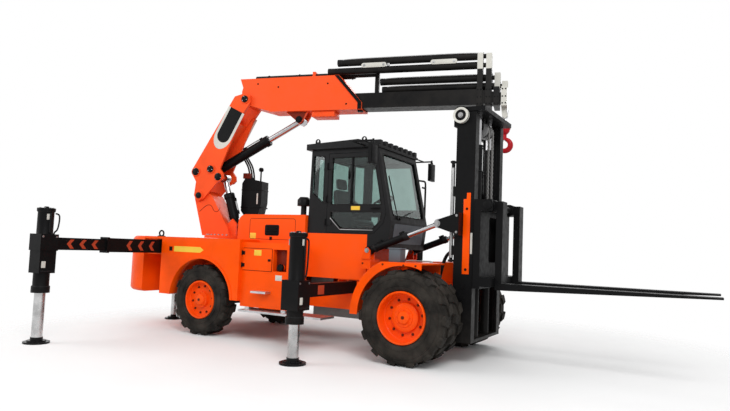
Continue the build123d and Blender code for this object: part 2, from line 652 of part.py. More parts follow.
# Cab frame: a welded hollow shell with the door and window openings cut
SIDE_WINDOW = ((-845.0, 2290.0), (-640.0, 2140.0), (-640.0, 2850.0), (-845.0, 2880.0))
DOOR = (
    (DOOR_REAR_X, 1700.0),
    (250.0, 1700.0),
    (400.0, 1850.0),
    (440.0, 2000.0),
    (262.0, 2890.0),
    (DOOR_REAR_X, 2890.0),
)
DOOR_UPPER = ((-500.0, 2120.0), (360.0, 2120.0), (215.0, 2830.0), (-500.0, 2830.0))
DOOR_LOWER = (
    (-500.0, 1930.0),
    (-320.0, 1760.0),
    (230.0, 1760.0),
    (355.0, 1885.0),
    (372.0, 2010.0),
    (-500.0, 2010.0),
)
HINGE_X = DOOR_REAR_X - 15
HINGE_Y = -CAB_HALF_W - 18
HINGE_R = 14.0
HINGE_Z = (1850.0, 2200.0, 2700.0)
front_slope = atan2(CAB_NOSE_X - CAB_FRONT_TOP_X, CAB_EAVES - CAB_NOSE_Z)
WINDSHIELD_W = 1120.0
WINDSHIELD_H = 940.0
windshield_plane = Plane(
    origin=((CAB_NOSE_X + CAB_FRONT_TOP_X) / 2, 0, (CAB_NOSE_Z + CAB_EAVES) / 2),
    x_dir=(0, 1, 0),
    z_dir=(cos(front_slope), 0, sin(front_slope)),
)
REAR_WINDOW_W = 1000.0
REAR_WINDOW_Z = (2150.0, 2870.0)
with BuildPart() as cab_frame:
    with BuildSketch(side_plane(0)) as cab_side:
        with BuildLine():
            Polyline(
                (CAB_REAR_X, CAB_SILL),
                (CAB_REAR_X + 20, CAB_EAVES),
                (CAB_FRONT_TOP_X, CAB_EAVES),
                (CAB_NOSE_X, CAB_NOSE_Z),
                (CAB_NOSE_X - 50, CAB_FLOOR - 20),
                (CAB_BASE_FRONT_X, CAB_FLOOR - 20),
                (CAB_BASE_FRONT_X, CAB_SILL),
                close=True,
            )
        make_face()
    extrude(amount=CAB_HALF_W, both=True)
    with BuildSketch(side_plane(0)):
        add(cab_side.sketch)
        offset(amount=-CAB_WALL, kind=Kind.INTERSECTION, mode=Mode.REPLACE)
    extrude(amount=CAB_HALF_W - CAB_WALL, both=True, mode=Mode.SUBTRACT)
    with Locations(((CAB_REAR_X + CAB_BASE_FRONT_X + 120) / 2, 0, CAB_SILL)):
        Box(
            CAB_BASE_FRONT_X + 120 - CAB_REAR_X - 2 * CAB_WALL,
            2 * (CAB_HALF_W - CAB_WALL),
            2 * CAB_WALL + 40,
            mode=Mode.SUBTRACT,
        )
    for name, sign in SIDES:
        with BuildSketch(side_plane(sign * CAB_HALF_W)):
            with BuildLine():
                Polyline(*SIDE_WINDOW, close=True)
            make_face()
        extrude(amount=sign * CAB_WALL, mode=Mode.SUBTRACT)
    with BuildSketch(side_plane(-CAB_HALF_W)):
        with BuildLine():
            Polyline(*DOOR, close=True)
        make_face()
        offset(amount=DOOR_GAP, kind=Kind.INTERSECTION)
    extrude(amount=-CAB_WALL, mode=Mode.SUBTRACT)
    with BuildSketch(side_plane(CAB_HALF_W)):
        with BuildLine():
            Polyline(*DOOR_UPPER, close=True)
        make_face()
        with BuildLine():
            Polyline(*DOOR_LOWER, close=True)
        make_face()
    extrude(amount=CAB_WALL, mode=Mode.SUBTRACT)
    with BuildSketch(windshield_plane):
        Rectangle(WINDSHIELD_W, WINDSHIELD_H)
    extrude(amount=-CAB_WALL - 5, mode=Mode.SUBTRACT)
    with Locations((CAB_REAR_X, 0, sum(REAR_WINDOW_Z) / 2)):
        Box(4 * CAB_WALL, REAR_WINDOW_W, REAR_WINDOW_Z[1] - REAR_WINDOW_Z[0], mode=Mode.SUBTRACT)
    # Hinge pads for the door
    for z in HINGE_Z:
        with Locations((HINGE_X - 20, -CAB_HALF_W - (4 - SEAT_GAP) / 2, z)):
            Box(34, 4 - SEAT_GAP, 90)
write(cab_frame.part, "cab_frame")

# Cab glass: fixed panes that fill the window openings
PANE_INSET = 20.0
with BuildPart() as cab_glass:
    with BuildSketch(windshield_plane.offset(-PANE_INSET)):
        Rectangle(WINDSHIELD_W, WINDSHIELD_H)
    extrude(amount=-GLASS_T)
    with Locations((CAB_REAR_X + PANE_INSET + 20, 0, sum(REAR_WINDOW_Z) / 2)):
        Box(GLASS_T, REAR_WINDOW_W, REAR_WINDOW_Z[1] - REAR_WINDOW_Z[0])
    for name, sign in SIDES:
        panes = (SIDE_WINDOW,) if sign < 0 else (SIDE_WINDOW, DOOR_UPPER, DOOR_LOWER)
        with BuildSketch(side_plane(sign * (CAB_HALF_W - PANE_INSET))):
            for pane in panes:
                with BuildLine():
                    Polyline(*pane, close=True)
                make_face()
        extrude(amount=sign * GLASS_T)
write(cab_glass.part, "cab_glass")

# Door on the right side, hinged at its rear edge
with BuildPart() as cab_door:
    with BuildSketch(side_plane(-CAB_HALF_W)):
        with BuildLine():
            Polyline(*DOOR, close=True)
        make_face()
        for pane in (DOOR_UPPER, DOOR_LOWER):
            with BuildLine():
                Polyline(*pane, close=True)
            make_face(mode=Mode.SUBTRACT)
    extrude(amount=-DOOR_T)
    for z in HINGE_Z:
        with BuildSketch(Plane.XY.offset(z - 40)):
            with Locations((HINGE_X, HINGE_Y)):
                Circle(HINGE_R)
            with Locations((HINGE_X + 50, -CAB_HALF_W - 7)):
                Rectangle(100, 10)
        extrude(amount=80)
        with Locations((DOOR_REAR_X + 30, -CAB_HALF_W - 1, z)):
            Box(50, 4, 80)
write(cab_door.part, "cab_door")

with BuildPart() as cab_door_glass:
    with BuildSketch(side_plane(-CAB_HALF_W + PANE_INSET)):
        for pane in (DOOR_UPPER, DOOR_LOWER):
            with BuildLine():
                Polyline(*pane, close=True)
            make_face()
    extrude(amount=-GLASS_T)
write(cab_door_glass.part, "cab_door_glass")

# Cab roof with its ribbed visor, a hatch and lifting eyes
ROOF_REAR_X = CAB_REAR_X - 60.0
ROOF_FRONT_X = CAB_FRONT_TOP_X + 20.0
VISOR_L = 350.0
VISOR_LIP = 40.0
VISOR_RIBS = 8
VISOR_RIB_W = 78.0
VISOR_RIB_TOP = CAB_EAVES + 115.0
HATCH_X = (-330.0, -60.0)
HATCH_HALF_W = 420.0
HATCH_TOP = CAB_EAVES + 150.0
HOIST_EYE_X = (-780.0, 40.0)
HOIST_EYE_R = 42.0
HOIST_EYE_HOLE = 20.0
HOIST_EYE_T = 22.0
roof_half = CAB_HALF_W + ROOF_LIP
with BuildPart() as cab_roof:
    with BuildSketch(side_plane(0)):
        with BuildLine():
            Polyline(
                (ROOF_REAR_X, CAB_EAVES),
                (ROOF_FRONT_X, CAB_EAVES),
                (ROOF_FRONT_X, CAB_EAVES + VISOR_LIP),
                (ROOF_FRONT_X - VISOR_L, CAB_EAVES + ROOF_T),
                (ROOF_REAR_X, CAB_EAVES + ROOF_T - VISOR_LIP),
                close=True,
            )
        make_face()
    extrude(amount=roof_half, both=True)
    with Locations((ROOF_FRONT_X - VISOR_L / 2, 0, (CAB_EAVES + VISOR_RIB_TOP) / 2)):
        with GridLocations(0, 2 * roof_half / VISOR_RIBS, 1, VISOR_RIBS):
            Box(VISOR_L, VISOR_RIB_W, VISOR_RIB_TOP - CAB_EAVES)
    with Locations((sum(HATCH_X) / 2, 0, (CAB_EAVES + HATCH_TOP) / 2)):
        Box(HATCH_X[1] - HATCH_X[0], 2 * HATCH_HALF_W, HATCH_TOP - CAB_EAVES)
    for name, sign in SIDES:
        with BuildSketch(side_plane(sign * CAB_HALF_W)):
            with Locations(*[(x, CAB_EAVES + ROOF_T) for x in HOIST_EYE_X]):
                Circle(HOIST_EYE_R)
                with Locations((0, -HOIST_EYE_R)):
                    Rectangle(2 * HOIST_EYE_R, 2 * HOIST_EYE_R)
                with Locations((0, HOIST_EYE_HOLE / 2)):
                    Circle(HOIST_EYE_HOLE, mode=Mode.SUBTRACT)
        extrude(amount=HOIST_EYE_T / 2, both=True)
write(cab_roof.part, "cab_roof")

# Operator seat on its pedestal
SEAT_X = -440.0
SEAT_PEDESTAL = (360.0, 360.0, 300.0)
CUSHION = (480.0, 500.0, 130.0)
BACK_H = 480.0
BACK_T = 110.0
BACK_LEAN = 90.0
BACK_W = 470.0
HEADREST_H = 170.0
HEADREST_W = 280.0
HEADREST_GAP = 40.0
cushion_top = CAB_FLOOR + SEAT_PEDESTAL[2] + CUSHION[2]
back_x = SEAT_X - CUSHION[0] / 2
with BuildPart() as operator_seat:
    with Locations((SEAT_X, 0, CAB_FLOOR + SEAT_PEDESTAL[2] / 2)):
        Box(*SEAT_PEDESTAL)
    with Locations((SEAT_X, 0, cushion_top - CUSHION[2] / 2)):
        Box(*CUSHION)
    with BuildSketch(side_plane(0)):
        with BuildLine():
            Polyline(
                (back_x, cushion_top - CUSHION[2]),
                (back_x + BACK_T, cushion_top - CUSHION[2]),
                (back_x + BACK_T - BACK_LEAN, cushion_top + BACK_H),
                (back_x - BACK_LEAN, cushion_top + BACK_H),
                close=True,
            )
        make_face()
    extrude(amount=BACK_W / 2, both=True)
    with BuildSketch(side_plane(0)):
        with Locations((back_x - BACK_LEAN + BACK_T / 2, cushion_top + BACK_H + HEADREST_H / 2)):
            Rectangle(BACK_T - HEADREST_GAP, HEADREST_H)
    extrude(amount=HEADREST_W / 2, both=True)
write(operator_seat.part, "operator_seat")

# Cab fittings: the mirrors on their arms and the handrail
MIRROR_ARM_Z = CAB_EAVES + 25.0
MIRROR_ARM_R = 11.0
MIRROR_ARM_X = (80.0, 270.0)
MIRROR_X = 410.0
MIRROR_Y = 1050.0
MIRROR_SIZE = (50.0, 190.0, 290.0)
MIRROR_BAR_T = 22.0
HANDRAIL_X = 430.0
HANDRAIL_OUT = 120.0
HANDRAIL_R = 16.0
HANDRAIL_STUB_R = 14.0
HANDRAIL_Z = (1770.0, 2530.0)
HANDRAIL_INSET = 30.0
with BuildPart() as cab_fittings:
    for name, sign in SIDES:
        with BuildSketch(side_plane(sign * roof_half)):
            with Locations(*[(x, MIRROR_ARM_Z) for x in MIRROR_ARM_X]):
                Circle(MIRROR_ARM_R)
        extrude(amount=-sign * (MIRROR_Y - roof_half))
        with Locations(((MIRROR_ARM_X[0] + MIRROR_X) / 2, sign * MIRROR_Y, MIRROR_ARM_Z)):
            Box(MIRROR_X - MIRROR_ARM_X[0] + MIRROR_BAR_T, MIRROR_BAR_T, MIRROR_BAR_T)
        with Locations((MIRROR_X, sign * MIRROR_Y, MIRROR_ARM_Z - MIRROR_BAR_T)):
            Box(MIRROR_BAR_T, MIRROR_BAR_T, 4 * MIRROR_BAR_T)
        with Locations((MIRROR_X, sign * MIRROR_Y, MIRROR_ARM_Z - 2 * MIRROR_BAR_T - MIRROR_SIZE[2] / 2)):
            Box(*MIRROR_SIZE)
    # Handrail beside the left front pillar
    with BuildSketch(side_plane(CAB_HALF_W)):
        with Locations((HANDRAIL_X, sum(HANDRAIL_Z) / 2)):
            with GridLocations(0, HANDRAIL_Z[1] - HANDRAIL_Z[0] - 2 * HANDRAIL_INSET, 1, 2):
                Circle(HANDRAIL_STUB_R)
    extrude(amount=-HANDRAIL_OUT)
    with BuildSketch(Plane.XY.offset(HANDRAIL_Z[0])):
        with Locations((HANDRAIL_X, CAB_HALF_W + HANDRAIL_OUT)):
            Circle(HANDRAIL_R)
    extrude(amount=HANDRAIL_Z[1] - HANDRAIL_Z[0])
write(cab_fittings.part, "cab_fittings")

# Front drive axle: housing, differential and spindles
AXLE_TUBE_R = 118.0
AXLE_END_Y = 690.0
SPINDLE_END_Y = 1090.0
with BuildPart() as front_axle:
    with BuildSketch(side_plane(0)):
        with Locations((FRONT_AXLE_X, FRONT_TYRE_R)):
            Circle(AXLE_TUBE_R)
    extrude(amount=AXLE_END_Y, both=True)
    with BuildSketch(side_plane(0)):
        with Locations((FRONT_AXLE_X, FRONT_TYRE_R)):
            Circle(SPINDLE_R)
    extrude(amount=SPINDLE_END_Y, both=True)
    with BuildSketch(side_plane(0)):
        with Locations((FRONT_AXLE_X, FRONT_TYRE_R)):
            Circle(230)
    extrude(amount=170, both=True)
    with BuildSketch(Plane.YZ.offset(GEARBOX_FRONT_X)):
        with Locations((0, FRONT_TYRE_R)):
            Circle(90)
    extrude(amount=FRONT_AXLE_X - GEARBOX_FRONT_X)
    for name, sign in SIDES:
        with Locations((FRONT_AXLE_X, sign * RAIL_Y, (FRONT_TYRE_R + front_rail_bottom) / 2)):
            Box(220, RAIL_W, front_rail_bottom - FRONT_TYRE_R)
write(front_axle.part, "front_axle")

# Rear steering axle: a beam on a centre trunnion with a yoke at each end
KINGPIN_Y = 700.0
KINGPIN_R = 34.0
KNUCKLE_R = 62.0
KNUCKLE_H = 110.0
YOKE_T = 40.0
REAR_SPINDLE_R = 60.0
yoke_low = REAR_TYRE_R - KNUCKLE_H / 2
yoke_high = REAR_TYRE_R + KNUCKLE_H / 2
with BuildPart() as rear_axle:
    with Locations((REAR_AXLE_X, 0, REAR_TYRE_R)):
        Box(200, 2 * (KINGPIN_Y - KNUCKLE_R - SWING_GAP), KNUCKLE_H + 2 * YOKE_T)
    with Locations((REAR_AXLE_X, 0, (yoke_high + rear_rail_bottom) / 2)):
        Box(CROSS_W, 300, rear_rail_bottom - yoke_high)
    for z in (yoke_low - YOKE_T, yoke_high):
        with BuildSketch(Plane.XY.offset(z)):
            for name, sign in SIDES:
                with Locations((REAR_AXLE_X, sign * (KINGPIN_Y - 40))):
                    Rectangle(2 * KNUCKLE_R, 80)
                with Locations((REAR_AXLE_X, sign * KINGPIN_Y)):
                    Circle(KNUCKLE_R)
        extrude(amount=YOKE_T)
    with BuildSketch(Plane.XY.offset(yoke_low)):
        for name, sign in SIDES:
            with Locations((REAR_AXLE_X, sign * KINGPIN_Y)):
                Circle(KINGPIN_R)
    extrude(amount=KNUCKLE_H)
write(rear_axle.part, "rear_axle")

rear_hub_y = REAR_OUTER_FACE_Y - REAR_DISH
for name, sign in SIDES:
    with BuildPart() as knuckle:
        with BuildSketch(Plane.XY.offset(yoke_low + SEAT_GAP)):
            with Locations((REAR_AXLE_X, sign * KINGPIN_Y)):
                Circle(KNUCKLE_R)
                Circle(KINGPIN_R + SEAT_GAP, mode=Mode.SUBTRACT)
        extrude(amount=KNUCKLE_H - 2 * SEAT_GAP)
        with BuildSketch(side_plane(sign * (KINGPIN_Y + KNUCKLE_R - 20))):
            with Locations((REAR_AXLE_X, REAR_TYRE_R)):
                Circle(KNUCKLE_H / 2 - 5)
        extrude(amount=-sign * 60)
        with BuildSketch(side_plane(sign * (KINGPIN_Y + KNUCKLE_R - 20))):
            with Locations((REAR_AXLE_X, REAR_TYRE_R)):
                Circle(REAR_SPINDLE_R - 10)
        extrude(amount=-sign * (rear_hub_y - KINGPIN_Y - KNUCKLE_R + 20 - SEAT_GAP))
    write(knuckle.part, f"knuckle_{name}")



def tread_places(axle_x, axle_z, mid_y, radius, width):
    """Places of the skewed tread lugs: two staggered rows round one tyre."""
    step = 360.0 / TREAD_LUGS
    places = []
    for row, side in enumerate((1, -1)):
        for i in range(TREAD_LUGS):
            angle = step * (i + row / 2)
            turn = radians(angle)
            centre = (axle_x + radius * sin(turn), mid_y + side * width / 4, axle_z + radius * cos(turn))
            places.append(Location(centre, (0, angle, 0)) * Location((0, 0, 0), (0, 0, side * TREAD_SKEW)))
    return places


def tread_profile(mid_y, axle_z, radius, width, bead_r):
    """Half section of a tyre with square shoulders taken off, for trimming the lugs."""
    half = width / 2
    return (
        (mid_y - half, axle_z + bead_r),
        (mid_y + half, axle_z + bead_r),
        (mid_y + half, axle_z + radius - TREAD_SHOULDER),
        (mid_y + half - TREAD_SHOULDER / 2, axle_z + radius),
        (mid_y - half + TREAD_SHOULDER / 2, axle_z + radius),
        (mid_y - half, axle_z + radius - TREAD_SHOULDER),
    )


# Wheels: tyres and rims turned about the axle
for name, sign in SIDES:
    front_mids = [sign * (FRONT_OUTER_FACE_Y - FRONT_TYRE_W / 2 - row * DUAL_SPACING) for row in (0, 1)]
    with BuildPart() as front_tyres:
        for mid_y in front_mids:
            with Locations(*tread_places(FRONT_AXLE_X, FRONT_TYRE_R, mid_y, FRONT_TYRE_R, FRONT_TYRE_W)):
                Box(TREAD_LUG_L, FRONT_TYRE_W / 2, 4 * TREAD_DEPTH)
        with BuildSketch(Plane.YZ.offset(FRONT_AXLE_X)):
            for mid_y in front_mids:
                with BuildLine():
                    Polyline(
                        *tread_profile(mid_y, FRONT_TYRE_R, FRONT_TYRE_R, FRONT_TYRE_W, FRONT_RIM_R),
                        close=True,
                    )
                make_face()
        revolve(axis=Axis((FRONT_AXLE_X, 0, FRONT_TYRE_R), (0, 1, 0)), mode=Mode.INTERSECT)
        carcass_r = FRONT_TYRE_R - TREAD_DEPTH
        with BuildSketch(Plane.YZ.offset(FRONT_AXLE_X)):
            for mid_y in front_mids:
                with Locations((mid_y, FRONT_TYRE_R + (carcass_r + FRONT_RIM_R) / 2)):
                    RectangleRounded(FRONT_TYRE_W, carcass_r - FRONT_RIM_R, TYRE_SHOULDER_R)
        revolve(axis=Axis((FRONT_AXLE_X, 0, FRONT_TYRE_R), (0, 1, 0)))
    write(front_tyres.part, f"front_tyres_{name}")

    inner_face = FRONT_OUTER_FACE_Y - FRONT_TYRE_W - DUAL_SPACING
    disc_y = FRONT_OUTER_FACE_Y - FRONT_DISH
    with BuildPart() as front_rims:
        with BuildSketch(Plane.YZ.offset(FRONT_AXLE_X)):
            with BuildLine():
                Polyline(
                    (sign * (inner_face + 15), FRONT_TYRE_R + FRONT_RIM_R),
                    (sign * (FRONT_OUTER_FACE_Y - 15), FRONT_TYRE_R + FRONT_RIM_R),
                    (sign * (FRONT_OUTER_FACE_Y - 15), FRONT_TYRE_R + FRONT_RIM_R - RIM_WALL),
                    (sign * disc_y, FRONT_TYRE_R + FRONT_RIM_R - RIM_WALL),
                    (sign * disc_y, FRONT_TYRE_R + HUB_R),
                    (sign * (disc_y + 70), FRONT_TYRE_R + HUB_R - 30),
                    (sign * (disc_y + 70), FRONT_TYRE_R),
                    (sign * (SPINDLE_END_Y + SEAT_GAP), FRONT_TYRE_R),
                    (sign * (SPINDLE_END_Y + SEAT_GAP), FRONT_TYRE_R + SPINDLE_R + SEAT_GAP),
                    (sign * (AXLE_END_Y + SWING_GAP), FRONT_TYRE_R + SPINDLE_R + SEAT_GAP),
                    (sign * (AXLE_END_Y + SWING_GAP), FRONT_TYRE_R + HUB_R),
                    (sign * (disc_y - DISC_T), FRONT_TYRE_R + HUB_R),
                    (sign * (disc_y - DISC_T), FRONT_TYRE_R + FRONT_RIM_R - RIM_WALL),
                    (sign * (inner_face + 15), FRONT_TYRE_R + FRONT_RIM_R - RIM_WALL),
                    close=True,
                )
            make_face()
        revolve(axis=Axis((FRONT_AXLE_X, 0, FRONT_TYRE_R), (0, 1, 0)))
    write(front_rims.part, f"front_rims_{name}")

    mid_y = sign * (REAR_OUTER_FACE_Y - REAR_TYRE_W / 2)
    with BuildPart() as rear_tyre:
        with Locations(*tread_places(REAR_AXLE_X, REAR_TYRE_R, mid_y, REAR_TYRE_R, REAR_TYRE_W)):
            Box(TREAD_LUG_L, REAR_TYRE_W / 2, 4 * TREAD_DEPTH)
        with BuildSketch(Plane.YZ.offset(REAR_AXLE_X)):
            with BuildLine():
                Polyline(
                    *tread_profile(mid_y, REAR_TYRE_R, REAR_TYRE_R, REAR_TYRE_W, REAR_RIM_R),
                    close=True,
                )
            make_face()
        revolve(axis=Axis((REAR_AXLE_X, 0, REAR_TYRE_R), (0, 1, 0)), mode=Mode.INTERSECT)
        carcass_r = REAR_TYRE_R - TREAD_DEPTH
        with BuildSketch(Plane.YZ.offset(REAR_AXLE_X)):
            with Locations((mid_y, REAR_TYRE_R + (carcass_r + REAR_RIM_R) / 2)):
                RectangleRounded(REAR_TYRE_W, carcass_r - REAR_RIM_R, TYRE_SHOULDER_R)
        revolve(axis=Axis((REAR_AXLE_X, 0, REAR_TYRE_R), (0, 1, 0)))
    write(rear_tyre.part, f"rear_tyre_{name}")

    inner_face = REAR_OUTER_FACE_Y - REAR_TYRE_W
    bore_r = REAR_SPINDLE_R - 10 + SEAT_GAP
    with BuildPart() as rear_rim:
        with BuildSketch(Plane.YZ.offset(REAR_AXLE_X)):
            with BuildLine():
                Polyline(
                    (sign * (inner_face + 12), REAR_TYRE_R + REAR_RIM_R),
                    (sign * (REAR_OUTER_FACE_Y - 12), REAR_TYRE_R + REAR_RIM_R),
                    (sign * (REAR_OUTER_FACE_Y - 12), REAR_TYRE_R + REAR_RIM_R - RIM_WALL),
                    (sign * rear_hub_y, REAR_TYRE_R + REAR_RIM_R - RIM_WALL),
                    (sign * rear_hub_y, REAR_TYRE_R + HUB_R - 30),
                    (sign * (rear_hub_y + 60), REAR_TYRE_R + HUB_R - 50),
                    (sign * (rear_hub_y + 60), REAR_TYRE_R),
                    (sign * rear_hub_y, REAR_TYRE_R),
                    (sign * rear_hub_y, REAR_TYRE_R + bore_r),
                    (sign * (inner_face + 30), REAR_TYRE_R + bore_r),
                    (sign * (inner_face + 30), REAR_TYRE_R + HUB_R - 30),
                    (sign * (rear_hub_y - DISC_T), REAR_TYRE_R + HUB_R - 30),
                    (sign * (rear_hub_y - DISC_T), REAR_TYRE_R + REAR_RIM_R - RIM_WALL),
                    (sign * (inner_face + 12), REAR_TYRE_R + REAR_RIM_R - RIM_WALL),
                    close=True,
                )
            make_face()
        revolve(axis=Axis((REAR_AXLE_X, 0, REAR_TYRE_R), (0, 1, 0)))
    write(rear_rim.part, f"rear_rim_{name}")

# Tilt cylinders: both barrels swing together, and both rods slide together
tilt_run = hypot(TILT_EYE_X - TILT_BASE_X, TILT_EYE_Z - TILT_BASE_Z)
tilt_dir = ((TILT_EYE_X - TILT_BASE_X) / tilt_run, (TILT_EYE_Z - TILT_BASE_Z) / tilt_run)
TILT_BARREL_LEN = 640.0
TILT_BORE_START = 150.0
TILT_ROD_START = 380.0
TILT_EYE_R = 62.0


def along_tilt(y, distance):
    """Plane across a tilt cylinder at a distance from its base pin."""
    return Plane(
        origin=(TILT_BASE_X + distance * tilt_dir[0], y, TILT_BASE_Z + distance * tilt_dir[1]),
        x_dir=(0, 1, 0),
        z_dir=(tilt_dir[0], 0, tilt_dir[1]),
    )


with BuildPart() as tilt_barrels:
    for name, sign in SIDES:
        with BuildSketch(side_plane(sign * TILT_Y)):
            with Locations((TILT_BASE_X, TILT_BASE_Z)):
                Circle(TILT_EYE_R)
        extrude(amount=TILT_EYE_W / 2 - 2, both=True)
        with BuildSketch(along_tilt(sign * TILT_Y, TILT_EYE_R)):
            Circle(TILT_BARREL_R)
        extrude(amount=TILT_BARREL_LEN - TILT_EYE_R)
        with BuildSketch(along_tilt(sign * TILT_Y, 0)):
            Circle(TILT_EYE_W / 2 - 2)
        extrude(amount=TILT_EYE_R)
        with BuildSketch(along_tilt(sign * TILT_Y, TILT_BORE_START)):
            Circle(TILT_ROD_R + SEAT_GAP)
        extrude(amount=TILT_BARREL_LEN - TILT_BORE_START, mode=Mode.SUBTRACT)
        with BuildSketch(side_plane(sign * TILT_Y)):
            with Locations((TILT_BASE_X, TILT_BASE_Z)):
                Circle(TILT_PIN_R + SEAT_GAP)
        extrude(amount=TILT_EYE_W / 2, both=True, mode=Mode.SUBTRACT)
write(tilt_barrels.part, "tilt_barrels")

with BuildPart() as tilt_rods:
    for name, sign in SIDES:
        with BuildSketch(along_tilt(sign * TILT_Y, TILT_ROD_START)):
            Circle(TILT_ROD_R)
        extrude(amount=tilt_run - TILT_ROD_START - TILT_EYE_R + 20)
        with BuildSketch(side_plane(sign * TILT_Y)):
            with Locations((TILT_EYE_X, TILT_EYE_Z)):
                Circle(TILT_EYE_R)
                Circle(TILT_PIN_R + SWING_GAP, mode=Mode.SUBTRACT)
        extrude(amount=TILT_EYE_W / 2 - 2, both=True)
write(tilt_rods.part, "tilt_rods")

# Outer mast: two channels that open inward, tied across their backs
OUTER_TOP_Z = MAST_TOP - 70
BASE_PLATE_T = 40.0
CROSS_BACK_T = 45.0
OUTER_CROSS_Z = (1500.0, 2300.0, 3250.0)
CROSS_H = 130.0
LUG_T = 25.0
BARREL_TOP = 2980.0
LIFT_CYL_X = 1650.0
LIFT_BORE_RISE = 60.0
LIFT_ROD_RISE = 90.0
GUARD_R = 24.0
GUARD_Z = (1340.0, 2720.0)
with BuildPart() as mast_outer:
    for name, sign in SIDES:
        with BuildSketch(Plane.XY.offset(MAST_BOTTOM)):
            with Locations(((MAST_REAR_X + MAST_FRONT_X) / 2, sign * (OUTER_RAIL_Y - OUTER_RAIL_T / 2))):
                Rectangle(MAST_FRONT_X - MAST_REAR_X, OUTER_RAIL_T)
            with Locations(((MAST_REAR_X + MAST_FRONT_X) / 2,
                            sign * (OUTER_RAIL_Y - OUTER_RAIL_T / 2 - RAIL_WEB))):
                Rectangle(MAST_FRONT_X - MAST_REAR_X - 2 * RAIL_WEB, OUTER_RAIL_T, mode=Mode.SUBTRACT)
        extrude(amount=OUTER_TOP_Z - MAST_BOTTOM)
        # Pivot lug on the mast's back
        with BuildSketch(side_plane(sign * (RAIL_Y + 35 + SEAT_GAP))):
            with BuildLine():
                Polyline(
                    (MAST_REAR_X, MAST_PIVOT_Z - 160),
                    (MAST_REAR_X, MAST_PIVOT_Z + 160),
                    (MAST_PIVOT_X + 30, MAST_PIVOT_Z + 75),
                    (MAST_PIVOT_X - 70, MAST_PIVOT_Z + 45),
                    (MAST_PIVOT_X - 70, MAST_PIVOT_Z - 45),
                    (MAST_PIVOT_X + 30, MAST_PIVOT_Z - 75),
                    close=True,
                )
            make_face()
            with Locations((MAST_PIVOT_X, MAST_PIVOT_Z)):
                Circle(40 + SEAT_GAP, mode=Mode.SUBTRACT)
        extrude(amount=-sign * 90)
        # Tilt rod lugs
        for lug_y in (TILT_Y - TILT_EYE_W / 2 - LUG_T / 2, TILT_Y + TILT_EYE_W / 2 + LUG_T / 2):
            with BuildSketch(side_plane(sign * lug_y)):
                with BuildLine():
                    Polyline(
                        (MAST_REAR_X + 120, TILT_EYE_Z - 150),
                        (MAST_REAR_X + 120, TILT_EYE_Z + 150),
                        (TILT_EYE_X + 20, TILT_EYE_Z + 60),
                        (TILT_EYE_X - 60, TILT_EYE_Z),
                        (TILT_EYE_X + 20, TILT_EYE_Z - 60),
                        close=True,
                    )
                make_face()
            extrude(amount=LUG_T / 2, both=True)
        lug_out = TILT_Y + TILT_EYE_W / 2 + LUG_T
        with Locations((MAST_REAR_X + 90, sign * (OUTER_RAIL_Y + lug_out) / 2, TILT_EYE_Z)):
            Box(60, lug_out - OUTER_RAIL_Y, 300)
        # Lift cylinder barrel
        with BuildSketch(Plane.XY.offset(MAST_BOTTOM + BASE_PLATE_T)):
            with Locations((LIFT_CYL_X, sign * LIFT_CYL_Y)):
                Circle(LIFT_CYL_R)
        extrude(amount=BARREL_TOP - MAST_BOTTOM - BASE_PLATE_T)
    with Locations(((MAST_REAR_X + MAST_FRONT_X) / 2, 0, MAST_BOTTOM + BASE_PLATE_T / 2)):
        Box(MAST_FRONT_X - MAST_REAR_X, 2 * (OUTER_RAIL_Y - RAIL_WEB), BASE_PLATE_T)
    for z in OUTER_CROSS_Z:
        with Locations((MAST_REAR_X - CROSS_BACK_T / 2, 0, z)):
            Box(CROSS_BACK_T, 2 * OUTER_RAIL_Y, CROSS_H)
    for name, sign in SIDES:
        with BuildSketch(Plane.XY.offset(MAST_BOTTOM + BASE_PLATE_T + LIFT_BORE_RISE)):
            with Locations((LIFT_CYL_X, sign * LIFT_CYL_Y)):
                Circle(LIFT_ROD_R + SEAT_GAP)
        extrude(amount=BARREL_TOP, mode=Mode.SUBTRACT)
    # Hose guard tubes behind the rails, carried on the cross members
    with BuildSketch(Plane.XY.offset(GUARD_Z[0])):
        for name, sign in SIDES:
            with Locations((MAST_REAR_X - CROSS_BACK_T, sign * (OUTER_RAIL_Y - GUARD_R))):
                Circle(GUARD_R)
    extrude(amount=GUARD_Z[1] - GUARD_Z[0])
write(mast_outer.part, "mast_outer")

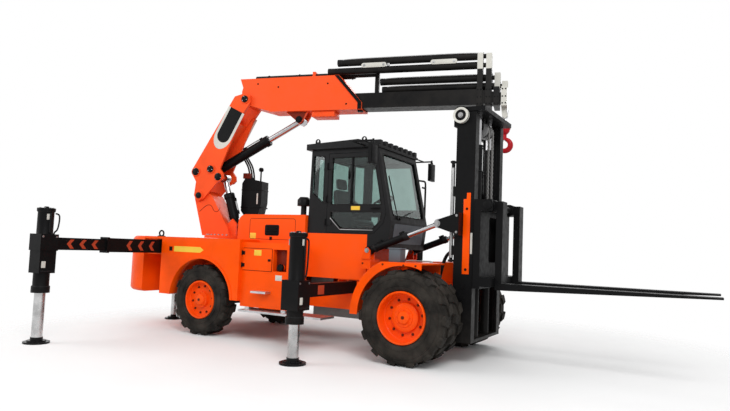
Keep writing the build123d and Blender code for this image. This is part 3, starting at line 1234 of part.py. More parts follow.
# Inner mast: two channels inside the outer ones, with the top beam, sheaves and tie bars
inner_x = (MAST_REAR_X + RAIL_WEB + RAIL_GAP, MAST_FRONT_X - RAIL_WEB - RAIL_GAP)
inner_out_y = OUTER_RAIL_Y - RAIL_WEB - RAIL_GAP
inner_in_y = inner_out_y - INNER_RAIL_T
INNER_WEB = 28.0
INNER_BOTTOM = MAST_BOTTOM + BASE_PLATE_T + RAIL_GAP
INNER_TOP = MAST_TOP - 60
INNER_TIE_Z = (INNER_BOTTOM + 80, 1900.0)
TOP_BEAM_X = (MAST_REAR_X - 30, MAST_FRONT_X + 120)
SHEAVE_Z = 3225.0
SHEAVE_W = 56.0
SHEAVE_X = 1655.0
HOSE_SHEAVE_X = 1545.0
HOSE_SHEAVE_Z = 3330.0
HOSE_SHEAVE_R = 104.0
HOSE_SHEAVE_W = 50.0
with BuildPart() as mast_inner:
    for name, sign in SIDES:
        with BuildSketch(Plane.XY.offset(INNER_BOTTOM)):
            with Locations((sum(inner_x) / 2, sign * (inner_out_y - INNER_RAIL_T / 2))):
                Rectangle(inner_x[1] - inner_x[0], INNER_RAIL_T)
            with Locations((sum(inner_x) / 2, sign * (inner_out_y - INNER_RAIL_T / 2 - INNER_WEB))):
                Rectangle(inner_x[1] - inner_x[0] - 2 * INNER_WEB, INNER_RAIL_T, mode=Mode.SUBTRACT)
        extrude(amount=INNER_TOP - INNER_BOTTOM)
        # Chain sheave and its hanger
        with BuildSketch(side_plane(sign * CHAIN_Y)):
            with Locations((SHEAVE_X, SHEAVE_Z)):
                Circle(SHEAVE_R)
        extrude(amount=SHEAVE_W / 2, both=True)
        with Locations((SHEAVE_X, sign * CHAIN_Y, (SHEAVE_Z + INNER_TOP) / 2)):
            Box(60, SHEAVE_W + 40, INNER_TOP - SHEAVE_Z)
    for z in INNER_TIE_Z:
        with Locations((inner_x[0] + INNER_WEB / 2, 0, z)):
            Box(INNER_WEB, 2 * inner_out_y, CROSS_H)
    with Locations((sum(TOP_BEAM_X) / 2, 0, (INNER_TOP + MAST_TOP) / 2)):
        Box(TOP_BEAM_X[1] - TOP_BEAM_X[0], 2 * OUTER_RAIL_Y, MAST_TOP - INNER_TOP)
    # Hose sheaves beside the rails, hung from the ends of the top beam
    for name, sign in SIDES:
        with BuildSketch(side_plane(sign * (OUTER_RAIL_Y + SWING_GAP))):
            with Locations((HOSE_SHEAVE_X, HOSE_SHEAVE_Z)):
                Circle(HOSE_SHEAVE_R)
        extrude(amount=-sign * HOSE_SHEAVE_W)
        hanger_y = sign * (OUTER_RAIL_Y + (SWING_GAP + HOSE_SHEAVE_W) / 2)
        with Locations((HOSE_SHEAVE_X, hanger_y, (INNER_TOP + MAST_TOP) / 2)):
            Box(HOSE_SHEAVE_R, SWING_GAP + HOSE_SHEAVE_W, MAST_TOP - INNER_TOP)
write(mast_inner.part, "mast_inner")

with BuildPart() as lift_rods:
    with BuildSketch(Plane.XY.offset(MAST_BOTTOM + BASE_PLATE_T + LIFT_ROD_RISE)):
        for name, sign in SIDES:
            with Locations((LIFT_CYL_X, sign * LIFT_CYL_Y)):
                Circle(LIFT_ROD_R)
    extrude(amount=INNER_TOP - MAST_BOTTOM - BASE_PLATE_T - LIFT_ROD_RISE)
write(lift_rods.part, "lift_rods")

# Lift chains: the strand from each sheave down to the carriage
CHAIN_ANCHOR_Z = CARRIAGE_TOP - 40
chain_x = SHEAVE_X + SHEAVE_R + CHAIN_T / 2
chain_step = (SHEAVE_Z - CHAIN_ANCHOR_Z) / (2 * CHAIN_LINKS)
chain_edge = [
    (CHAIN_T / 2 - (CHAIN_WAIST if i % 2 else 0), CHAIN_ANCHOR_Z + i * chain_step)
    for i in range(2 * CHAIN_LINKS + 1)
]
chain_outline = [(chain_x + w, z) for w, z in chain_edge]
chain_outline += [(chain_x - w, z) for w, z in reversed(chain_edge)]
with BuildPart() as lift_chains:
    for name, sign in SIDES:
        with BuildSketch(side_plane(sign * CHAIN_Y)):
            with BuildLine():
                Polyline(*chain_outline, close=True)
            make_face()
        extrude(amount=CHAIN_W / 2, both=True)
write(lift_chains.part, "lift_chains")

# Carriage: back plates, roller arms, a fork shaft and a lower bar
CARRIAGE_X = MAST_FRONT_X + 20
SHAFT_R = 45.0
SHAFT_X = CARRIAGE_X + 180
SHAFT_Z = CARRIAGE_TOP - 80
BAR_FRONT_X = FORK_HEEL_X - FORK_T - SEAT_GAP
ARM_Y = inner_in_y - 30
ARM_Z = (CARRIAGE_BOTTOM + 330, CARRIAGE_TOP - 50)
ROLLER_R = (inner_x[1] - inner_x[0]) / 2 - INNER_WEB - SEAT_GAP
with BuildPart() as carriage:
    with BuildSketch(Plane.YZ.offset(CARRIAGE_X)):
        with Locations((0, (CARRIAGE_BOTTOM + CARRIAGE_TOP) / 2)):
            Rectangle(2 * CARRIAGE_HALF_W, CARRIAGE_TOP - CARRIAGE_BOTTOM)
        fillet(vertices().group_by(Axis.Y)[-1], radius=CARRIAGE_CORNER_R)
        with Locations((0, (CARRIAGE_BOTTOM + CARRIAGE_TOP) / 2 + CARRIAGE_WINDOW_RISE)):
            RectangleRounded(CARRIAGE_WINDOW, CARRIAGE_WINDOW, CARRIAGE_CORNER_R / 2, mode=Mode.SUBTRACT)
    extrude(amount=CARRIAGE_T)
    for y in (-CARRIAGE_HALF_W + 20, 0, CARRIAGE_HALF_W - 20):
        with Locations(((CARRIAGE_X + SHAFT_X + 60) / 2, y, SHAFT_Z)):
            Box(SHAFT_X + 60 - CARRIAGE_X, 40, 150)
    with BuildSketch(side_plane(0)):
        with Locations((SHAFT_X, SHAFT_Z)):
            Circle(SHAFT_R)
    extrude(amount=CARRIAGE_HALF_W, both=True)
    with Locations(((CARRIAGE_X + BAR_FRONT_X) / 2, 0, CARRIAGE_BOTTOM + 90)):
        Box(BAR_FRONT_X - CARRIAGE_X, 2 * CARRIAGE_HALF_W, 120)
    for name, sign in SIDES:
        with Locations(((CARRIAGE_X + sum(inner_x) / 2 - 30) / 2, sign * ARM_Y, sum(ARM_Z) / 2)):
            Box(CARRIAGE_X - sum(inner_x) / 2 + 30, 40, ARM_Z[1] - ARM_Z[0])
        for z in (ARM_Z[0] + 75, ARM_Z[1] - 75):
            with BuildSketch(side_plane(sign * ARM_Y)):
                with Locations((sum(inner_x) / 2, z)):
                    Circle(ROLLER_R)
            extrude(amount=-sign * (inner_out_y - INNER_WEB - ARM_Y - 4))
        with Locations(((chain_x - CHAIN_T / 2 + CARRIAGE_X) / 2, sign * CHAIN_Y, CHAIN_ANCHOR_Z - 40)):
            Box(CARRIAGE_X - chain_x + CHAIN_T / 2, 80, 80)
write(carriage.part, "carriage")

# Forks: each hangs on the shaft by an eye, with a tapering blade
with BuildPart() as forks:
    for name, sign in SIDES:
        with BuildSketch(side_plane(sign * FORK_Y)):
            with BuildLine():
                Polyline(
                    (FORK_HEEL_X - FORK_T, CARRIAGE_BOTTOM - 10),
                    (FORK_HEEL_X + 60, CARRIAGE_BOTTOM - 10),
                    (FORK_TIP_X, CARRIAGE_BOTTOM - 10 + FORK_T - FORK_TIP_T),
                    (FORK_TIP_X, CARRIAGE_BOTTOM - 10 + FORK_T),
                    (FORK_HEEL_X, CARRIAGE_BOTTOM - 10 + FORK_T),
                    (FORK_HEEL_X, SHAFT_Z + 60),
                    (FORK_HEEL_X - FORK_T, SHAFT_Z + 60),
                    close=True,
                )
            make_face()
        extrude(amount=FORK_W / 2, both=True)
        with BuildSketch(side_plane(sign * FORK_Y)):
            with Locations((SHAFT_X, SHAFT_Z)):
                Circle(SHAFT_R + 40)
            with Locations(((SHAFT_X + FORK_HEEL_X - FORK_T) / 2 + 10, SHAFT_Z)):
                Rectangle(FORK_HEEL_X - FORK_T - SHAFT_X + 20, 110)
            with Locations((SHAFT_X, SHAFT_Z)):
                Circle(SHAFT_R + SEAT_GAP, mode=Mode.SUBTRACT)
        extrude(amount=FORK_W / 2, both=True)
write(forks.part, "forks")

# Crane column on the slew flange, with the lift cylinder's lugs
EYE_HALF_W = 75.0
BARREL_R = 85.0
LIFT_ROD_R_CRANE = 50.0
FOLD_ROD_R = 52.0
EYE_R = 80.0
BASE_TOP = DECK_Z + 5
TANK_R = (240.0, 640.0)
TANK_LAT = (140.0, 420.0)
TANK_Z = (BASE_TOP + 330, 2680.0)
with BuildPart() as crane_column:
    with BuildSketch(Plane.XY.offset(BASE_TOP + SEAT_GAP)):
        with Locations((CRANE_X, 0)):
            Circle(BASE_R)
    extrude(amount=60)
    with BuildSketch(BOOM):
        with BuildLine():
            Polyline(
                (-BASE_R + 20, BASE_TOP + 50),
                (BASE_R - 110, BASE_TOP + 50),
                (BASE_R - 160, BASE_TOP + 200),
                (LUFF_PIN[0] + 230, LUFF_PIN[1] + 10),
                (LUFF_PIN[0] + 60, LUFF_PIN[1] + 100),
                (LUFF_PIN[0] - 90, LUFF_PIN[1] + 60),
                (LUFF_PIN[0] - 110, LUFF_PIN[1] - 60),
                close=True,
            )
        make_face()
    extrude(amount=COLUMN_HALF_W, both=True)
    for sign in (1, -1):
        with BuildSketch(BOOM.offset(sign * (EYE_HALF_W + SLIDE_GAP))):
            with BuildLine():
                Polyline(
                    (BASE_R - 200, BASE_TOP + 50),
                    (BASE_R - 30, BASE_TOP + 50),
                    (LIFT_BASE[0] + EYE_R, LIFT_BASE[1]),
                    (LIFT_BASE[0], LIFT_BASE[1] + EYE_R),
                    (LIFT_BASE[0] - EYE_R, LIFT_BASE[1]),
                    (BASE_R - 300, BASE_TOP + 200),
                    close=True,
                )
            make_face()
        extrude(amount=sign * 50)
    with BuildSketch(BOOM):
        with Locations(LIFT_BASE):
            Circle(PIN_R)
    extrude(amount=EYE_HALF_W + SLIDE_GAP + 50, both=True)
    with BuildSketch(BOOM):
        with Locations(LIFT_BASE):
            Circle(EYE_R + SLIDE_GAP)
            Circle(PIN_R, mode=Mode.SUBTRACT)
    extrude(amount=EYE_HALF_W + SLIDE_GAP, both=True, mode=Mode.SUBTRACT)
    with BuildSketch(BOOM):
        with Locations(LUFF_PIN):
            Circle(PIN_R)
    extrude(amount=INNER_HALF_W + BOSS_T + PIN_PROUD, both=True)
    # Bracket under the oil tank
    with BuildSketch(BOOM.offset(-COLUMN_HALF_W)):
        with BuildLine():
            Polyline(
                (-60, BASE_TOP + 105),
                (180, BASE_TOP + 105),
                (TANK_R[1] - 170, TANK_Z[0] - 35),
                (TANK_R[1] - 170, TANK_Z[0]),
                (TANK_R[0] + 150, TANK_Z[0]),
                (-60, BASE_TOP + 250),
                close=True,
            )
        make_face()
    extrude(amount=-BOOM_PLATE)
write(crane_column.part, "crane_column")

# Oil tank carried on the column
with BuildPart() as crane_tank:
    with BuildSketch(BOOM.offset(-TANK_LAT[1])):
        with BuildLine():
            Polyline(
                (TANK_R[0], TANK_Z[0] + 200),
                (TANK_R[0] + 150, TANK_Z[0]),
                (TANK_R[1] - 80, TANK_Z[0]),
                (TANK_R[1], TANK_Z[0] + 350),
                (TANK_R[1], TANK_Z[1] - 60),
                (TANK_R[0] + 60, TANK_Z[1]),
                (TANK_R[0], TANK_Z[1] - 100),
                close=True,
            )
        make_face()
    extrude(amount=TANK_LAT[1] - TANK_LAT[0])
write(crane_tank.part, "crane_tank")


def boom_line(start, end):
    """Length of a cylinder between two pins, and its direction in the boom's plane."""
    run = hypot(end[0] - start[0], end[1] - start[1])
    return run, ((end[0] - start[0]) / run, (end[1] - start[1]) / run)


def along_boom(start, direction, distance):
    """Plane across a crane cylinder at a distance from its base pin."""
    spot = (start[0] + distance * direction[0], start[1] + distance * direction[1])
    return Plane(
        origin=BOOM.from_local_coords((spot[0], spot[1], 0)),
        x_dir=BOOM.z_dir,
        z_dir=BOOM.x_dir * direction[0] + BOOM.y_dir * direction[1],
    )


# Crane cylinders: base pin, eye pin, barrel length, start of the rod, rod radius
CRANE_CYLINDERS = {
    "lift_cylinder": (LIFT_BASE, LIFT_EYE, 560.0, 260.0, LIFT_ROD_R_CRANE),
    "fold_cylinder": (FOLD_BASE, FOLD_EYE, 1150.0, 420.0, FOLD_ROD_R),
}
for name, (start, end, barrel_len, rod_start, rod_r) in CRANE_CYLINDERS.items():
    run, direction = boom_line(start, end)
    with BuildPart() as barrel:
        with BuildSketch(BOOM):
            with Locations(start):
                Circle(EYE_R)
        extrude(amount=EYE_HALF_W, both=True)
        with BuildSketch(along_boom(start, direction, 0)):
            Circle(EYE_HALF_W - 5)
        extrude(amount=EYE_R + 20)
        with BuildSketch(along_boom(start, direction, EYE_R + 10)):
            Circle(BARREL_R)
        extrude(amount=barrel_len - EYE_R - 10)
        with BuildSketch(along_boom(start, direction, rod_start - 40)):
            Circle(rod_r + SEAT_GAP)
        extrude(amount=barrel_len, mode=Mode.SUBTRACT)
        with BuildSketch(BOOM):
            with Locations(start):
                Circle(PIN_R + SEAT_GAP)
        extrude(amount=EYE_HALF_W, both=True, mode=Mode.SUBTRACT)
    write(barrel.part, f"{name}_barrel")
    with BuildPart() as rod:
        with BuildSketch(along_boom(start, direction, rod_start)):
            Circle(rod_r)
        extrude(amount=run - rod_start - EYE_R + 15)
        with BuildSketch(BOOM):
            with Locations(end):
                Circle(EYE_R)
                Circle(PIN_R, mode=Mode.SUBTRACT)
        extrude(amount=EYE_HALF_W, both=True)
    write(rod.part, f"{name}_rod")

# Inner boom: two side plates joined by a box along the back
INNER_OUTLINE = (
    (LUFF_PIN[0] - 105, LUFF_PIN[1]),
    (LUFF_PIN[0] - 20, LUFF_PIN[1] - 105),
    (LUFF_PIN[0] + 90, LUFF_PIN[1] - 60),
    (LIFT_EYE[0] - 30, LIFT_EYE[1] - 110),
    (LIFT_EYE[0] + 100, LIFT_EYE[1] - 30),
    (LIFT_EYE[0] + 90, LIFT_EYE[1] + 60),
    (LIFT_EYE[0] + 20, LIFT_EYE[1] + 150),
    (KNUCKLE_PIN[0] - 60, KNUCKLE_PIN[1] - 300),
    (KNUCKLE_PIN[0] + 100, KNUCKLE_PIN[1] - 60),
    (KNUCKLE_PIN[0] + 90, KNUCKLE_PIN[1] + 70),
    (KNUCKLE_PIN[0] - 40, KNUCKLE_PIN[1] + 105),
    (KNUCKLE_PIN[0] - 210, KNUCKLE_PIN[1] + 60),
    (-560.0, 2800.0),
    (-580.0, 2720.0),
    (-480.0, 2560.0),
)
INNER_SLOT = (
    (-800.0, 2000.0),
    (600.0, 2000.0),
    (600.0, 3900.0),
    (330.0, 3790.0),
    (FOLD_BASE[0] - 90, FOLD_BASE[1] + 65),
    (FOLD_BASE[0] - 140, FOLD_BASE[1] - 90),
    (-800.0, FOLD_BASE[1] - 90),
)
with BuildPart() as inner_boom:
    with BuildSketch(BOOM):
        with BuildLine():
            Polyline(*INNER_OUTLINE, close=True)
        make_face()
    extrude(amount=INNER_HALF_W, both=True)
    with BuildSketch(BOOM):
        with BuildLine():
            Polyline(*INNER_SLOT, close=True)
        make_face()
    extrude(amount=INNER_HALF_W - BOOM_PLATE, both=True, mode=Mode.SUBTRACT)
    with BuildSketch(BOOM):
        with Locations(KNUCKLE_PIN):
            Circle(KNUCKLE_ROOM_R)
    extrude(amount=OUTER_HALF_W + SWING_GAP, both=True, mode=Mode.SUBTRACT)
    # Ring bosses on both side plates
    for sign in (1, -1):
        with BuildSketch(BOOM.offset(sign * INNER_HALF_W)):
            with Locations(KNUCKLE_PIN, FOLD_BASE, LUFF_PIN, LIFT_EYE, REAR_BOSS):
                Circle(BOSS_R)
        extrude(amount=sign * BOSS_T)
    with BuildSketch(BOOM):
        with Locations(LUFF_PIN):
            Circle(PIN_R + SEAT_GAP)
    extrude(amount=INNER_HALF_W + BOSS_T, both=True, mode=Mode.SUBTRACT)
    with BuildSketch(BOOM):
        with Locations(KNUCKLE_PIN, FOLD_BASE):
            Circle(PIN_R)
    extrude(amount=INNER_HALF_W + BOSS_T + PIN_PROUD, both=True)
write(inner_boom.part, "inner_boom")

# Outer boom: a deep box on the knuckle pin, open at the front for the extensions
cavity_half = OUTER_HALF_W - OUTER_WALL
stage_bottom = OUTER_BOTTOM + OUTER_WALL + SLIDE_GAP
stage_half = cavity_half - SLIDE_GAP
TUBE_R = 60.0
TUBE_ROD_R = 38.0
FIRST_TUBE = (110.0, 4505.0)
LUG_HALF = EYE_HALF_W + SLIDE_GAP
with BuildPart() as outer_boom:
    with BuildSketch(BOOM):
        with BuildLine():
            Polyline(
                (KNUCKLE_PIN[0] - 150, OUTER_TOP),
                (OUTER_FRONT_R - FRONT_RAKE, OUTER_TOP),
                (OUTER_FRONT_R, OUTER_BOTTOM + FRONT_LIP),
                (OUTER_FRONT_R, OUTER_BOTTOM),
                (KNUCKLE_PIN[0] + 480, OUTER_BOTTOM),
                (KNUCKLE_PIN[0] + 60, KNUCKLE_PIN[1] - 100),
                (KNUCKLE_PIN[0] - 90, KNUCKLE_PIN[1] - 70),
                (KNUCKLE_PIN[0] - 110, KNUCKLE_PIN[1] + 160),
                (KNUCKLE_PIN[0] - 90, KNUCKLE_PIN[1] + 230),
                close=True,
            )
        make_face()
    extrude(amount=OUTER_HALF_W, both=True)
    # Collar along the raked front end
    with BuildSketch(BOOM):
        with BuildLine():
            Polyline(
                (OUTER_FRONT_R - FRONT_RAKE - COLLAR_W, OUTER_TOP),
                (OUTER_FRONT_R - FRONT_RAKE, OUTER_TOP),
                (OUTER_FRONT_R, OUTER_BOTTOM + FRONT_LIP),
                (OUTER_FRONT_R, OUTER_BOTTOM),
                (OUTER_FRONT_R - COLLAR_W, OUTER_BOTTOM),
                (OUTER_FRONT_R - COLLAR_W, OUTER_BOTTOM + FRONT_LIP),
                close=True,
            )
        make_face()
    extrude(amount=OUTER_HALF_W + COLLAR_T, both=True)
    with BuildSketch(BOOM):
        with Locations(((STAGE_REAR_R - CAVITY_REAR + OUTER_FRONT_R) / 2,
                        (OUTER_BOTTOM + OUTER_WALL + STAGE_TOP + SLIDE_GAP) / 2)):
            Rectangle(
                OUTER_FRONT_R - STAGE_REAR_R + CAVITY_REAR,
                STAGE_TOP + SLIDE_GAP - OUTER_BOTTOM - OUTER_WALL,
            )
    extrude(amount=cavity_half, both=True, mode=Mode.SUBTRACT)
    with BuildSketch(BOOM):
        with Locations(KNUCKLE_PIN):
            Circle(PIN_R + SEAT_GAP)
    extrude(amount=OUTER_HALF_W, both=True, mode=Mode.SUBTRACT)
    for sign in (1, -1):
        with BuildSketch(BOOM.offset(sign * LUG_HALF)):
            with BuildLine():
                Polyline(
                    (FOLD_EYE[0] - 260, OUTER_BOTTOM + 5),
                    (FOLD_EYE[0] - EYE_R, FOLD_EYE[1]),
                    (FOLD_EYE[0], FOLD_EYE[1] - EYE_R),
                    (FOLD_EYE[0] + EYE_R, FOLD_EYE[1]),
                    (FOLD_EYE[0] + 160, OUTER_BOTTOM + 5),
                    close=True,
                )
            make_face()
        extrude(amount=sign * 45)
    # First extension cylinder's barrel on two saddles
    with BuildSketch(along_boom((450.0, FIRST_TUBE[1]), (1.0, 0.0), 0)):
        with Locations((-FIRST_TUBE[0], 0)):
            Circle(TUBE_R)
    extrude(amount=1900)
    for r in (700.0, 1900.0):
        with BuildSketch(BOOM.offset(-FIRST_TUBE[0])):
            with Locations((r, (OUTER_TOP + FIRST_TUBE[1]) / 2)):
                Rectangle(90, FIRST_TUBE[1] - OUTER_TOP + 10)
        extrude(amount=TUBE_R + 10, both=True)
    with BuildSketch(along_boom((520.0, FIRST_TUBE[1]), (1.0, 0.0), 0)):
        with Locations((-FIRST_TUBE[0], 0)):
            Circle(TUBE_ROD_R + SEAT_GAP)
    extrude(amount=2200, mode=Mode.SUBTRACT)
write(outer_boom.part, "outer_boom")

# Extensions: nested boxes, each with a head that holds one cylinder's rod and the next one's barrel
STAGE_COUNT = 4
STAGE_FRONT_R = (4500.0, 4640.0, 4770.0, 4890.0)
HEAD_T = 90.0
HEAD_MARGIN = 26.0
# Barrels on each stage, and the rods that reach into the stage before: lateral place, height, rear end
STAGE_BARRELS = (
    ((-75.0, 4530.0, 1950.0), (-75.0, 4680.0, 2120.0)),
    ((75.0, 4360.0, 2860.0),),
    ((75.0, 4215.0, 2900.0),),
    (),
)
STAGE_RODS = (
    ((110.0, 4505.0, 560.0),),
    ((-75.0, 4530.0, 2100.0), (-75.0, 4680.0, 2270.0)),
    ((75.0, 4360.0, 3010.0),),
    ((75.0, 4215.0, 3050.0),),
)
# Uprights on each head: lateral from, lateral to, bottom, top
head_base = STAGE_TOP - HEAD_MARGIN
STAGE_UPRIGHTS = (
    ((-143.0, -7.0, head_base, 4710.0),),
    ((-143.0, -7.0, head_base, 4710.0), (-143.0, 143.0, 4300.0, 4425.0)),
    ((7.0, 143.0, head_base, 4425.0),),
    ((7.0, 143.0, head_base, 4280.0),),
)
for stage in range(STAGE_COUNT):
    shrink = stage * (STAGE_WALL + SLIDE_GAP)
    half = stage_half - shrink
    low = stage_bottom + shrink
    high = STAGE_TOP - shrink
    rear = STAGE_REAR_R + 25 * stage
    front = STAGE_FRONT_R[stage]
    with BuildPart() as extension:
        with BuildSketch(BOOM):
            with Locations(((rear + front) / 2, (low + high) / 2)):
                Rectangle(front - rear, high - low)
        extrude(amount=half, both=True)
        # Head collar
        with BuildSketch(BOOM):
            with Locations((front + HEAD_T / 2, (stage_bottom + STAGE_TOP) / 2)):
                Rectangle(HEAD_T, STAGE_TOP - stage_bottom + 2 * HEAD_MARGIN)
        extrude(amount=stage_half + HEAD_MARGIN, both=True)
        # Uprights that reach the cylinders
        for lat_from, lat_to, bottom, top in STAGE_UPRIGHTS[stage]:
            with BuildSketch(BOOM.offset(-lat_from)):
                with Locations((front + HEAD_T / 2, (bottom + top) / 2)):
                    Rectangle(HEAD_T, top - bottom)
            extrude(amount=lat_from - lat_to)
        for lat, z, start_r in STAGE_BARRELS[stage]:
            with BuildSketch(along_boom((start_r, z), (1.0, 0.0), 0)):
                with Locations((-lat, 0)):
                    Circle(TUBE_R)
            extrude(amount=front + HEAD_T - start_r)
        for lat, z, start_r in STAGE_BARRELS[stage]:
            with BuildSketch(along_boom((start_r + 60, z), (1.0, 0.0), 0)):
                with Locations((-lat, 0)):
                    Circle(TUBE_ROD_R + SEAT_GAP)
            extrude(amount=front + HEAD_T - start_r, mode=Mode.SUBTRACT)
        if stage < STAGE_COUNT - 1:
            with BuildSketch(BOOM):
                with Locations(((rear + front + HEAD_T) / 2, (low + high) / 2)):
                    Rectangle(front + HEAD_T - rear + 20, high - low - 2 * STAGE_WALL)
            extrude(amount=half - STAGE_WALL, both=True, mode=Mode.SUBTRACT)
        for lat, z, start_r in STAGE_RODS[stage]:
            rod_end = front + 10 if stage else OUTER_FRONT_R + 200
            with BuildSketch(along_boom((start_r, z), (1.0, 0.0), 0)):
                with Locations((-lat, 0)):
                    Circle(TUBE_ROD_R)
            extrude(amount=rod_end - start_r)
        if stage == 0:
            lug_base = STAGE_TOP - STAGE_WALL / 2
            lug_top = FIRST_TUBE[1] + TUBE_ROD_R + 10
            with BuildSketch(BOOM.offset(-FIRST_TUBE[0])):
                with Locations((OUTER_FRONT_R + 180, (lug_base + lug_top) / 2)):
                    Rectangle(70, lug_top - lug_base)
            extrude(amount=30, both=True)
        if stage == STAGE_COUNT - 1:
            with BuildSketch(BOOM):
                with BuildLine():
                    Polyline(
                        (front, stage_bottom - HEAD_MARGIN),
                        (HOOK_PIN[0] - 45, HOOK_PIN[1]),
                        (HOOK_PIN[0], HOOK_PIN[1] - 45),
                        (HOOK_PIN[0] + 45, HOOK_PIN[1]),
                        (front + HEAD_T, stage_bottom - HEAD_MARGIN),
                        close=True,
                    )
                make_face()
            extrude(amount=60, both=True)
            with BuildSketch(BOOM):
                with BuildLine():
                    Polyline(
                        (front - 20, stage_bottom - HEAD_MARGIN - 20),
                        (HOOK_PIN[0] - 75, HOOK_PIN[1] - 80),
                        (HOOK_PIN[0] + 75, HOOK_PIN[1] - 80),
                        (front + HEAD_T + 20, stage_bottom - HEAD_MARGIN - 20),
                        close=True,
                    )
                make_face()
            extrude(amount=35, both=True, mode=Mode.SUBTRACT)
            with BuildSketch(BOOM):
                with Locations(HOOK_PIN):
                    Circle(18)
            extrude(amount=60, both=True)
    write(extension.part, f"extension_{stage + 1}")

# Hook: an eye, a swivel ball and the hook itself
with BuildPart() as hook:
    with BuildSketch(BOOM):
        with Locations(HOOK_PIN):
            Circle(44)
        with Locations((HOOK_PIN[0], HOOK_PIN[1] - 80)):
            Rectangle(36, 120)
        with Locations(HOOK_PIN):
            Circle(18 + SEAT_GAP, mode=Mode.SUBTRACT)
    extrude(amount=28, both=True)
    with BuildSketch(BOOM):
        with Locations((HOOK_PIN[0], HOOK_PIN[1] - 200)):
            Ellipse(85, 110)
            Ellipse(50, 70, mode=Mode.SUBTRACT)
            Rectangle(120, 60)
    extrude(amount=36, both=True)
    with BuildSketch(BOOM):
        with Locations((HOOK_PIN[0], HOOK_PIN[1] - 360)):
            Rectangle(44, 110)
        with Locations((HOOK_PIN[0], HOOK_PIN[1] - 520)):
            Circle(120)
            with Locations((0, 20)):
                Circle(62, mode=Mode.SUBTRACT)
        with Locations((HOOK_PIN[0] - 110, HOOK_PIN[1] - 440)):
            Rectangle(120, 110, mode=Mode.SUBTRACT)
    extrude(amount=30, both=True)
write(hook.part, "hook")

# Rear outriggers: two telescoping stages each side, with the leg on the outer one
inner_stage_w = REAR_STAGE_W - 2 * (BEAM_WALL + SLIDE_GAP)
inner_stage_h = REAR_STAGE_H - 2 * (BEAM_WALL + SLIDE_GAP)
STAGE_ONE_OUT_Y = 2190.0
STAGE_ONE_IN_Y = 760.0
STAGE_TWO_IN_Y = 1830.0
BEAM_COLLAR_L = 40.0
BEAM_COLLAR = 12.0
JACK_FOOT_STEPS = ((155.0, 25.0), (105.0, 25.0))
JACK_ROD_L = 900.0
leg_cap_r = LEG_TUBE_R + LEG_COLLAR
for name, sign in SIDES:
    beam_x = REAR_BEAM_X - (REAR_BEAM_PITCH if sign > 0 else 0)
    leg_place = (beam_x, sign * REAR_FOOT_Y)
    with BuildPart() as stage_one:
        with Locations((beam_x, sign * (STAGE_ONE_IN_Y + STAGE_ONE_OUT_Y) / 2, REAR_BEAM_Z)):
            Box(REAR_STAGE_W, STAGE_ONE_OUT_Y - STAGE_ONE_IN_Y, REAR_STAGE_H)
        with Locations((beam_x, sign * (STAGE_ONE_OUT_Y - BEAM_COLLAR_L / 2), REAR_BEAM_Z)):
            Box(REAR_STAGE_W + 2 * BEAM_COLLAR, BEAM_COLLAR_L, REAR_STAGE_H + 2 * BEAM_COLLAR)
        with Locations((beam_x, sign * (STAGE_ONE_IN_Y + STAGE_ONE_OUT_Y) / 2, REAR_BEAM_Z)):
            Box(
                REAR_STAGE_W - 2 * BEAM_WALL,
                STAGE_ONE_OUT_Y - STAGE_ONE_IN_Y,
                REAR_STAGE_H - 2 * BEAM_WALL,
                mode=Mode.SUBTRACT,
            )
        with Locations((beam_x, sign * (STAGE_ONE_OUT_Y - PAD_L / 2),
                        REAR_BEAM_Z - REAR_STAGE_H / 2 + BEAM_WALL + PAD_T / 2)):
            Box(inner_stage_w, PAD_L, PAD_T)
    write(stage_one.part, f"rear_beam_inner_{name}")
    with BuildPart() as stage_two:
        with Locations((beam_x, sign * (STAGE_TWO_IN_Y + REAR_FOOT_Y) / 2, REAR_BEAM_Z)):
            Box(inner_stage_w, REAR_FOOT_Y - STAGE_TWO_IN_Y, inner_stage_h)
        # Leg housing in two sections, the tube through it, its collar and its cap
        box_mid_z = REAR_BEAM_Z - inner_stage_h / 2 - BEAM_COLLAR
        with Locations((*leg_place, (box_mid_z + REAR_LEG_BOX_Z[1]) / 2)):
            Box(LEG_W, LEG_W, REAR_LEG_BOX_Z[1] - box_mid_z)
        with Locations((*leg_place, (REAR_LEG_BOX_Z[0] + box_mid_z) / 2)):
            Box(LEG_W - 2 * LEG_BOX_STEP, LEG_W - 2 * LEG_BOX_STEP, box_mid_z - REAR_LEG_BOX_Z[0])
        with BuildSketch(Plane.XY.offset(REAR_LEG_BOTTOM)):
            with Locations(leg_place):
                Circle(LEG_TUBE_R)
        extrude(amount=REAR_LEG_TOP - REAR_LEG_BOTTOM)
        for low, high in (
            (REAR_LEG_BOTTOM, REAR_LEG_BOTTOM + LEG_COLLAR_H),
            (REAR_LEG_TOP - LEG_CAP_T, REAR_LEG_TOP),
        ):
            with BuildSketch(Plane.XY.offset(low)):
                with Locations(leg_place):
                    Circle(leg_cap_r)
            extrude(amount=high - low)
        with BuildSketch(Plane.XY.offset(REAR_LEG_BOTTOM)):
            with Locations(leg_place):
                Circle(LEG_ROD_R + SEAT_GAP)
        extrude(amount=REAR_LEG_TOP - REAR_LEG_BOTTOM - LEG_CAP_T, mode=Mode.SUBTRACT)
    write(stage_two.part, f"rear_beam_outer_{name}")
    with BuildPart() as leg_rod:
        foot_z = 0.0
        for step_r, step_h in FOOT_STEPS:
            with BuildSketch(Plane.XY.offset(foot_z)):
                with Locations(leg_place):
                    Circle(step_r)
            extrude(amount=step_h)
            foot_z += step_h
        with BuildSketch(Plane.XY.offset(FOOT_H)):
            with Locations(leg_place):
                Circle(LEG_ROD_R)
        extrude(amount=REAR_LEG_BOTTOM + LEG_ROD_HOLD - FOOT_H)
    write(leg_rod.part, f"rear_leg_{name}")

